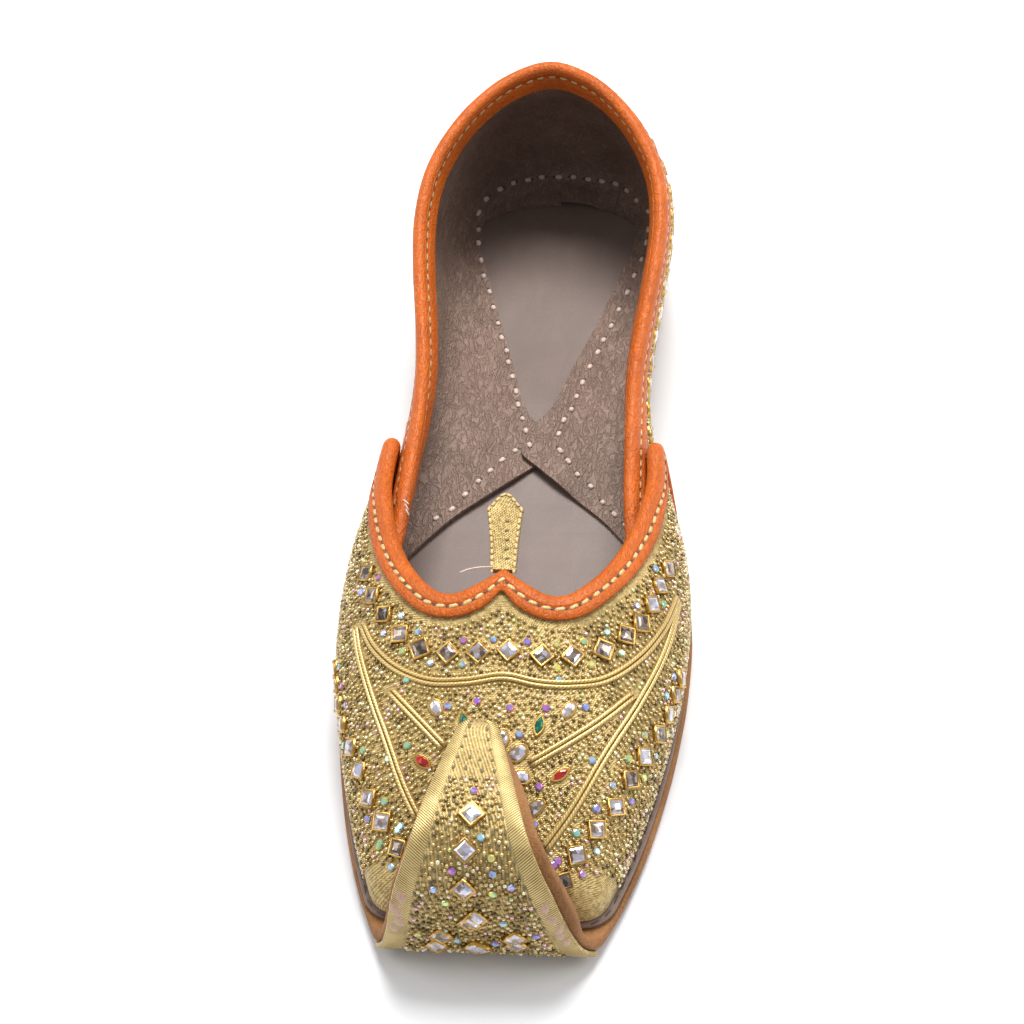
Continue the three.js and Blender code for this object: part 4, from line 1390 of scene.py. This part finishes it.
# Beads that keep apart: cells of space list what is near, so that few distances have to be measured
class Scatter:
    def __init__(self, apart):
        self.apart = apart
        self.cells = {}
        self.spots = []

    def cell(self, point):
        return tuple(math.floor(value / beadLook["cell"]) for value in point)

    def block(self, point, clear):
        key = self.cell(point)
        for dx in (-1, 0, 1):
            for dy in (-1, 0, 1):
                for dz in (-1, 0, 1):
                    near = (key[0] + dx, key[1] + dy, key[2] + dz)
                    self.cells.setdefault(near, []).append((point, clear * clear))

    def free(self, point):
        near = self.cells.get(self.cell(point), ())
        return all((point - other).length_squared >= clear for other, clear in near)

    def add(self, point, normal):
        if self.free(point):
            self.spots.append((point, normal))
            self.block(point, self.apart)


# Seeded darts over a grid of points and normals, kept where they are wanted and free
def throwBeads(scatter, grid, wanted, darts):
    cells, areas = [], []
    for (pointsA, normalsA), (pointsB, normalsB) in zip(grid, grid[1:]):
        for k in range(len(pointsA) - 1):
            corners = (pointsA[k], pointsB[k], pointsA[k + 1], pointsB[k + 1])
            cells.append((corners, normalsA[k] + normalsB[k + 1]))
            areas.append((corners[1] - corners[0]).cross(corners[2] - corners[0]).length)
    for (a, b, c, d), normal in random.choices(cells, weights=areas, k=darts):
        u, v = random.random(), random.random()
        point = a.lerp(b, u).lerp(c.lerp(d, u), v)
        if wanted(point):
            scatter.add(point, normal)


def strewBeads(name, spots):
    places, tones = [], []
    for point, normal in spots:
        radius = beadLook["radius"] * random.uniform(beadLook["least"], beadLook["most"])
        size = (radius, radius, radius * beadLook["flat"])
        places.append(setDown(point, normal, Vector((1, 0.3, 0.2)), size, beadLook["sink"]))
        tones.append(min(max(random.gauss(0.5, beadLook["toneSpread"]), 0), 1))
    strew(name, beadTemplate, places, [beadPearls], tones)


edgeLine = [vampPoint(*vampEdge(k / 4)) for k in range(4 * peak + 1)]
edgeLine += [Vector((-point.x, point.y, point.z)) for point in edgeLine]
topLine = [quarterPoint(k / 6, 1) for k in range(12 * quarterMiddle + 1)]


def pointTree(points):
    tree = KDTree(len(points))
    for number, point in enumerate(points):
        tree.insert(point, number)
    tree.balance()
    return tree


edgeTree, topTree = pointTree(edgeLine), pointTree(topLine)


def wingEdge(height):
    rows = [(row[1], row[0]) for row in wingRows[:-1]]
    return column(rows, 1, min(max(height, rows[0][0]), rows[-1][0]))


def onVamp(point):
    margin = bare["throat"] if point.z > 30 or point.y < 100 else bare["wing"]
    toe = bare["toe"] - bare["bend"] * max(bare["bendHalf"] - abs(point.x), 0)
    return edgeTree.find(point)[2] > margin and point.z > feather(point.y) + bare["sole"] and point.y > toe


def onQuarter(point):
    low = feather(min(point.y, form["heelBack"])) + bare["sole"]
    clear = point.z > low and point.y > wingEdge(point.z) + bare["overlap"]
    return clear and topTree.find(point)[2] > bare["topline"]


vampBeads, quarterBeads, curlBeads = (Scatter(beadLook["apart"]) for _ in range(3))
for scatter in (vampBeads, quarterBeads, curlBeads):
    for place, clear in taken:
        scatter.block(place, clear)
vampSide, quarterSide = (vampTree, vampBeads, onVamp), (quarterTree, quarterBeads, onQuarter)
vampCordsEnd = 120  # cords in front of this station lie on the vamp
for line in cordLines:
    for place, aside in line:
        tree, scatter, wanted = vampSide if place.y < vampCordsEnd else quarterSide
        for side in (1, -1):
            spot, turned = nearest(tree, place + aside * beadLook["besideCord"] * side)
            if wanted(spot):
                scatter.add(spot, turned)
throwBeads(vampBeads, vampGrid, onVamp, beadLook["darts"])
throwBeads(quarterBeads, quarterGrid, onQuarter, beadLook["darts"])
for name, spots in (("vamp_beads", vampBeads.spots), ("quarter_beads", quarterBeads.spots)):
    for side, label in ((1, "right"), (-1, "left")):
        strewBeads(name + "_" + label, [(p, n) for p, n in spots if (p.x >= 0) == (side > 0)])
print("beads", len(vampBeads.spots), len(quarterBeads.spots))

print("toe curl braid")
braidLook = {
    "width": 4.4, "tip": 2.6, "thick": 0.2, "steps": 6, "share": 0.45, "inset": 0.2,
    "dotPitch": 3.2, "dotFrom": 4.2, "dotRows": (0.5, 3.2), "dotClear": 0.95,
}
braidSection = ((0, -0.3), (0, 0.3), (0.12, 1), (0.5, 1.12), (0.88, 1), (1, 0.3), (1, -0.3))


def bandEdge(index):
    half = curlFrame(index)[2] - coverLook["inset"] - braidLook["inset"]
    width = mixed(braidLook["width"], braidLook["tip"], ease(5, 12, index))
    return half, min(width, half * braidLook["share"])


def bandRings(side):
    rings = []
    last = len(curlRows) - 1.25
    count = round((last - coverLook["start"]) * braidLook["steps"])
    for k in range(count + 1):
        index = mixed(coverLook["start"] + 0.1, last, k / count)
        half, width = bandEdge(index)
        ring = []
        for share, rise in braidSection:
            place, normal = coverSpot(index, side * (half - width * share))
            ring.append(place + normal * rise * braidLook["thick"])
        rings.append(ring)
    return rings


braidGold = braidFinish()
braids = joined([ringMesh(bandRings(side)) for side in (1, -1)])
addPiece("curl_braid", braids, [braidGold], (), 40)


# Ball with blunt ends, laid along x
def stitchShape(shape):
    bmesh.ops.create_uvsphere(shape, u_segments=7, v_segments=5, radius=1)
    for vert in shape.verts:
        vert.co = Vector((vert.co.z, vert.co.y, vert.co.x))
        vert.co.x = math.copysign(abs(vert.co.x) ** 0.6, vert.co.x)


stitchTemplate = templateMesh(stitchShape)
# dark dots beside the braids paint the shade in their pricked holes
darkDotsAndHoleShade = threadFinish("dark dots and painted hole shade", (0.11, 0.085, 0.03), (0.24, 0.185, 0.075))
holes = []
for side in (1, -1):  # two rows beside each braid, their distance measured along the outer one
    travelled = 0
    before = None
    for k in range(400):
        index = mixed(braidLook["dotFrom"], len(curlRows) - 1.6, k / 399)
        half, width = bandEdge(index)
        for number, beside in enumerate(braidLook["dotRows"]):
            inset = width + beside
            place, normal = coverSpot(index, side * (half - inset))
            if number == 0:
                travelled += (place - before).length if before else 0
                before = place
                due = travelled >= braidLook["dotPitch"]
                travelled = 0 if due else travelled
            if due and half > inset + 0.6:
                way = coverSpot(index + 0.1, 0)[0] - coverSpot(index - 0.1, 0)[0]
                holes.append(setDown(place, normal, way, (0.7 * chance.uniform(0.6, 1.1), 0.38, 0.2), -0.08))
                curlBeads.block(place, braidLook["dotClear"])
strew("curl_pricked_holes", stitchTemplate, holes, [darkDotsAndHoleShade])


# The cloth between the braids, as rows of places and normals
def curlGrid():
    first, last, rows, columns = 2.6, 9.6, 80, 12
    grid = []
    for k in range(rows + 1):
        index = mixed(first, last, k / rows)
        half, width = bandEdge(index)
        row = [coverSpot(index, (half - width - 0.9) * (2 * j / columns - 1)) for j in range(columns + 1)]
        grid.append(([place for place, _ in row], [normal for _, normal in row]))
    return grid


throwBeads(curlBeads, curlGrid(), lambda point: True, beadLook["curlDarts"])
strewBeads("curl_beads", curlBeads.spots)
# index along the curl and share of its half width
padSpots = [
    (3.9, 1), (4.3, 0.97), (4.7, 1), (5.15, 0.97), (5.6, 0.95), (4.4, -1),
    (4.8, -0.95), (5.3, -1), (5.8, -0.97),
]
pads = []
for index, across in padSpots:
    half, width = bandEdge(index)
    place, normal = coverSpot(index, across * (half - width * 0.35))
    size = (chance.uniform(2.2, 3.4), chance.uniform(1.3, 1.8), 0.6)
    pads.append(setDown(place, normal, Vector((0.2 * across, 0.3, 1)), size, 0.2))
bareCloth = threadFinish("bare pinkish backing", (0.42, 0.24, 0.14), (0.62, 0.41, 0.27))
strew("curl_bare_patches", beadTemplate, pads, [bareCloth])

print("stones set down")


cupLook = {"flare": 1.04, "under": -0.1, "rimRise": 0.03, "rimDip": -0.09, "facet": 0.17, "pinch": 0.75}


# Outline of radius 1 with even corners, or one that narrows to a point at both ends
def outlineOf(kind, count):
    points = []
    for k in range(count):
        angle = 2 * math.pi * k / count
        x, y = math.cos(angle), math.sin(angle)
        points.append((x, y * (1 - cupLook["pinch"] * abs(x) ** 3) if kind == "pointed" else y))
    return points


# Gold cup with a cut stone in it. Cup walls and rim take the first material, the stone the second.
def stoneShape(kind, count, rimWidth, height, crown):
    flare, facet = cupLook["flare"], cupLook["facet"]
    rim = [(rimWidth * 0.4, cupLook["rimRise"]), (rimWidth * 0.6, cupLook["rimDip"])]
    cut = [(facet, crown * 0.75), (facet, crown * 0.25)]

    def build(shape):
        made = bmesh.ops.create_circle(shape, cap_ends=True, radius=1, segments=count)
        for vert, (x, y) in zip(made["verts"], outlineOf(kind, count)):
            vert.co = Vector((x * flare, y * flare, cupLook["under"]))
        lifted = bmesh.ops.extrude_face_region(shape, geom=shape.faces[:], use_keep_orig=True)
        top = [item for item in lifted["geom"] if isinstance(item, bmesh.types.BMFace)][0]
        for vert in top.verts:
            vert.co = Vector((vert.co.x / flare, vert.co.y / flare, height))
        if top.normal.z < 0:
            top.normal_flip()
        narrow = math.cos(math.pi / count)
        size = 1
        for number, (width, rise) in enumerate(rim + cut):
            if number == len(rim):
                cup = set(shape.faces)
            bmesh.ops.inset_region(shape, faces=[top], thickness=0.001)
            shrink = 1 - width / narrow / size
            size *= shrink
            for vert in top.verts:
                vert.co = Vector((vert.co.x * shrink, vert.co.y * shrink, vert.co.z + rise))
        for face in shape.faces:
            if face not in cup or face == top:
                face.material_index = 1

    return build


cupGold = metalFinish("stone cups", (0.62, 0.38, 0.1), 0.28)
# the mirror stones' dark, bluish and white stops are painted reflections
mirrorStops = (
    (0.1, (0.05, 0.035, 0.025)), (0.35, (0.25, 0.18, 0.13)), (0.55, (0.5, 0.42, 0.38)),
    (0.75, (0.62, 0.62, 0.8)), (0.95, (0.95, 0.93, 0.9)))
rainbowStops = (
    (0.05, (0.8, 0.25, 0.5)), (0.2, (0.3, 0.16, 0.7)), (0.35, (0.35, 0.5, 0.85)), (0.5, (0.4, 0.75, 0.75)),
    (0.65, (0.3, 0.6, 0.42)), (0.85, (0.75, 0.78, 0.15)), (0.95, (0.85, 0.45, 0.5)))
greenStops = ((0.2, (0.0, 0.05, 0.03)), (0.6, (0.01, 0.2, 0.12)), (0.95, (0.2, 0.6, 0.45)))
redStops = ((0.2, (0.2, 0.004, 0.004)), (0.6, (0.7, 0.02, 0.015)), (0.95, (0.9, 0.15, 0.1)))
# outline, corners, width of the rim, height and crown of the stone, then its name, colours and surface
stoneKinds = {
    "square": (("even", 4, 0.13, 0.42, 0.14), ("mirror stones", mirrorStops, 0.6, 0.5, 0.08)),
    "round": (("even", 8, 0.08, 0.35, 0.4), ("rainbow stones", rainbowStops, 0.5, 0.3, 0.12)),
    "oval": (("even", 14, 0.22, 0.42, 0.25), ("clear stones", mirrorStops, 0.5, 0.55, 0.08)),
    "green": (("pointed", 14, 0.26, 0.42, 0.2), ("green stones", greenStops, 0.4, 0.6, 0.08)),
    "red": (("pointed", 14, 0.26, 0.42, 0.2), ("red stones", redStops, 0.35, 0.6, 0.08)),
}
for kind, (cut, colour) in stoneKinds.items():
    places, tones = jewels[kind]
    template = templateMesh(stoneShape(*cut))
    strew(kind + "_stones", template, places, [cupGold, stoneFinish(*colour)], tones)

print("stitches")
seamLook = {"pitch": 3.2, "slant": 0.12}
goldThread = threadFinish("gold stitch thread", (0.45, 0.28, 0.08), (0.86, 0.64, 0.31), 0.3)
paleThread = threadFinish("pale stitch thread", (0.55, 0.4, 0.33), (0.85, 0.68, 0.58))
# dark thread for the edge strip's running stitch, also used as painted shade in stitch holes
darkThreadAndHoleShade = threadFinish("dark running stitch and painted hole shade", (0.035, 0.025, 0.02), (0.09, 0.06, 0.045))


# Stitches laid in turn along a row of places and normals
def sewn(spots, pitch, half, thick, high, sink=0.0, slant=0.0, ends=1.5):
    places = []
    travelled = pitch - ends
    for (before, _), (place, normal) in zip(spots, spots[1:]):
        travelled += (place - before).length
        if travelled >= pitch:
            travelled -= pitch
            way = place - before
            aside = normal.cross(way).normalized() * way.length
            size = (half * chance.uniform(0.9, 1.08), thick, high)
            turned = way + aside * (slant + chance.uniform(-0.06, 0.06))
            places.append(setDown(place, normal, turned, size, sink))
    return places


def vampSeam(out):
    spots = []
    first, fine = bindingLook["first"], 600
    for k in range(fine + 1):
        index, side = sideOf(first + 2 * (peak - first) * k / fine)
        place, normal, _, _ = vampWalk(index, inwardFrom(index), bindingLook["stitchAt"])
        place = place + normal * out
        place.x, normal.x = side * place.x, side * normal.x
        spots.append((place, normal))
    return spots


# Seam along the quarter's topline, outside or inside
def quarterSeam(out):
    spots = []
    first, fine = 0.4, 900
    for k in range(fine + 1):
        index = first + (quarterEnd - 2 * first) * k / fine
        _, _, _, alongV = quarterFrame(index, 1)
        place, normal, _, _ = quarterFrame(index, 1 - bindingLook["stitchAt"] / alongV.length)
        spots.append((place + normal * out, normal if out > 0 else -normal))
    return spots


seamOut = bindingLook["gap"] + bindingLook["leather"] - bindingLook["groove"]
seamIn = bindingLook["groove"] - form["wall"] - bindingLook["slim"] - 0.3
seams, pricks = [], []
for spots in (vampSeam(seamOut), quarterSeam(seamOut), quarterSeam(seamIn)):
    seams += sewn(spots, half=1.15, thick=0.6, high=0.5, sink=-0.05, **seamLook)
    # dark dots halfway between the stitches are painted shade, the shadow in the stitch holes between them
    between = 1.5 + seamLook["pitch"] / 2
    pricks += sewn(spots, half=0.5, thick=0.5, high=0.18, sink=0.05, ends=between, **seamLook)
strew("binding_stitches", stitchTemplate, seams, [goldThread])
strew("binding_pricks", stitchTemplate, pricks, [darkThreadAndHoleShade])

liningTree = treeOf(*(piece for piece in bpy.data.objects if piece.name in ("quarter_lining", "vamp_lining")))
liningRows = [
    [(369.8, 276.8), (380.5, 269.4), (390.4, 265), (401.6, 262.7), (411.9, 260.7), (424.9, 260.7),
     (435.9, 261), (447.1, 262.7), (457.5, 264.3), (467.8, 266.3), (476.2, 271.4), (483.6, 279),
     (492.3, 287.2)],
    [(364, 287), (364, 300), (364, 310), (366, 323), (368, 335), (372.5, 347), (375.4, 359), (379, 371),
     (381.6, 381.7), (385.5, 391.6), (386.8, 400.3), (389.8, 411.2), (392.6, 422.2), (394.1, 432.3),
     (397.5, 442.9), (400, 452), (402.7, 462.8)],
    [(492.3, 301), (490.8, 310.9), (487.4, 323.5), (481.9, 335.7), (476.5, 348.3), (470.1, 361.3),
     (464.4, 373.5), (458.6, 384), (454.3, 393.1), (448.3, 403.9), (442.8, 415.8), (438.4, 426.4),
     (434.4, 436), (428.7, 444.1), (424.9, 454.4)],
    [(426, 467), (432, 475), (439, 485), (449, 494), (458, 506), (467, 515), (475, 523)],
    [(392, 467), (382, 474), (373, 482), (364, 490), (354, 500), (344, 511), (332, 518)],
]
places, pricks = [], []
for marks in liningRows:
    spots = seenRow(liningTree, marks)
    for (place, normal), way in zip(spots, tangents([place for place, _ in spots])):
        half = chance.uniform(0.72, 1.1)
        places.append(setDown(place, normal, way, (half, 0.7, 0.55), -0.1))
        # the dark dot at the rear end is painted shade, standing for the shadow in the stitch's needle hole
        back = place + way * (half + 0.35) * math.copysign(1, way.y)  # a dimple at the stitch's rear end
        pricks.append(setDown(back, normal, way, (0.5, 0.45, 0.12), 0.0))
strew("lining_stitches", stitchTemplate, places, [paleThread])
strew("lining_pricks", stitchTemplate, pricks, [darkThreadAndHoleShade])

print("edge stitches")


def stripEdge(side):
    spots = []
    for at in stationList(stripLook["front"] + 0.5, form["heelBack"] - stripLook["inset"] - 0.3, 700):
        half = insetHalf(at, stripLook["inset"] + 0.9 - rim(at), stripLook["front"])
        high = soleTop(at) + form["gap"] + form["stripHeight"]
        spots.append((Vector((side * half, at, high)), Vector((0, 0, 1))))
    return spots


places = []
for side in (1, -1):
    places += sewn(stripEdge(side), pitch=3.9, half=1.3, thick=0.22, high=0.3, sink=0.05)
strew("edge_stitches", stitchTemplate, places, [darkThreadAndHoleShade])

tabTree = treeOf(bpy.data.objects["tab_cloth"])
tabMarks = [(386, 548), (385.5, 541), (386, 534), (385.5, 527), (386, 520)]
places = [setDown(place, normal, Vector((1, 0.3, 0)), (0.5, 0.35, 0.25), -0.05)
          for place, normal in seenRow(tabTree, tabMarks)]
strew("tab_seam", stitchTemplate, places, [darkDotsAndHoleShade])


def tabSpot(row, across):
    start, half, lean = tabRows[row]
    back = tabEdge.y + tabLook["from"] + start - tabLook["seamEnd"]
    return Vector((lean + across * (half - tabLook["seamSide"]), back, tabEdge.z + tabLook["rise"] * start))


rimStep = 1.7
rimLine = evenLine([tabSpot(row, -1) for row in range(4)], rimStep)
rimLine += evenLine([tabSpot(3, -1), tabSpot(4, 0), tabSpot(3, 1)], rimStep)[1:]
rimLine += evenLine([tabSpot(row, 1) for row in (3, 2, 1, 0)], rimStep)[1:]
places = [setDown(place, Vector((0, -0.15, 1)), way, (0.75, 0.4, 0.3), -0.05)
          for place, way in zip(rimLine, tangents(rimLine))]
strew("tab_rim", stitchTemplate, places, [goldThread])

print("loose threads")
bindingTree = treeOf(vampBinding, quarterBinding)
handMarks = [(309, 505.5), (309.5, 509.5), (310, 513.5)]
places = [setDown(place, normal, Vector((0.8, -0.5, 0.1)), (1.0, 0.25, 0.35), 0.0)
          for place, normal in seenRow(bindingTree, handMarks)]
strew("hand_stitches", stitchTemplate, places, [paleThread])
looseEnd = tabSpot(0, -1)
line = [looseEnd + Vector(step) for step in (
    (0.8, 0.6, 0.6), (-0.8, 0.3, 0.9), (-2.4, 0.1, 1.0), (-4, -0.3, 1.1), (-5.6, -1, 1.3), (-7, -2.1, 1.6))]
ways = tangents(line)
asides = [way.cross(Vector((0, 0, 1))).normalized() for way in ways]
thread = tubeRings(line, asides, [aside.cross(way) for aside, way in zip(asides, ways)], radius=0.18, sides=6)
addPiece("loose_thread", ringMesh(thread), [paleThread], (), 0)

print("stage")
stageLook = {
    "sensor": 36, "clip": (0.01, 20), "floor": (0.86, 0.86, 0.87, 1),
    "sky": (0.95, 0.97, 1, 1), "skyPower": 0.5,
    # place, size and power of each lamp
    "lamps": {
        "key": ((0.05, 0.4, 1), (0.5, 0.4), 13.5),
        "fill": ((-0.8, 0.0, 0.7), (0.5, 0.5), 2.2),
        "side": ((0.8, 0.0, 0.7), (0.5, 0.5), 2.8),
    },
}


def makeCamera():
    camera = bpy.data.objects.new("camera", bpy.data.cameras.new("camera"))
    bpy.context.collection.objects.link(camera)
    camera.data.lens = photoCamera["lens"]
    camera.data.sensor_width = stageLook["sensor"]
    camera.data.clip_start, camera.data.clip_end = stageLook["clip"]
    x, y, z = photoCamera["place"]
    ahead = photoRay(*photoCamera["aimedAt"])
    right = Vector(photoCamera["right"])
    right = (right - ahead * right.dot(ahead)).normalized()
    turn = Matrix((right, right.cross(ahead), -ahead)).transposed()
    camera.matrix_world = Matrix.Translation((x / 1000, (y - shiftAt) / 1000, z / 1000)) @ turn.to_4x4()
    bpy.context.scene.camera = camera


def makeLight(name, place, size, power):
    light = bpy.data.lights.new(name, "AREA")
    light.shape = "RECTANGLE"
    light.size, light.size_y = size
    light.energy = power
    lamp = bpy.data.objects.new(name, light)
    bpy.context.collection.objects.link(lamp)
    lamp.location = place
    lamp.rotation_euler = (-Vector(place)).to_track_quat("-Z", "Y").to_euler()


def makeStage():
    floorMesh = bmesh.new()
    bmesh.ops.create_grid(floorMesh, x_segments=1, y_segments=1, size=3)
    mesh = bpy.data.meshes.new("floor")
    floorMesh.to_mesh(mesh)
    floorMesh.free()
    floor = bpy.data.objects.new("floor", mesh)
    floorFinish = Finish("pale floor", base=stageLook["floor"], roughness=0.7, specular=0.2)
    mesh.materials.append(floorFinish.material)
    bpy.context.collection.objects.link(floor)
    world = bpy.data.worlds.new("studio")
    world.use_nodes = True
    sky = world.node_tree.nodes["Background"].inputs
    sky["Color"].default_value, sky["Strength"].default_value = stageLook["sky"], stageLook["skyPower"]
    bpy.context.scene.world = world
    for name, lamp in stageLook["lamps"].items():
        makeLight(name, *lamp)
    bpy.context.scene.view_settings.view_transform = "Standard"


makeCamera()
makeStage()
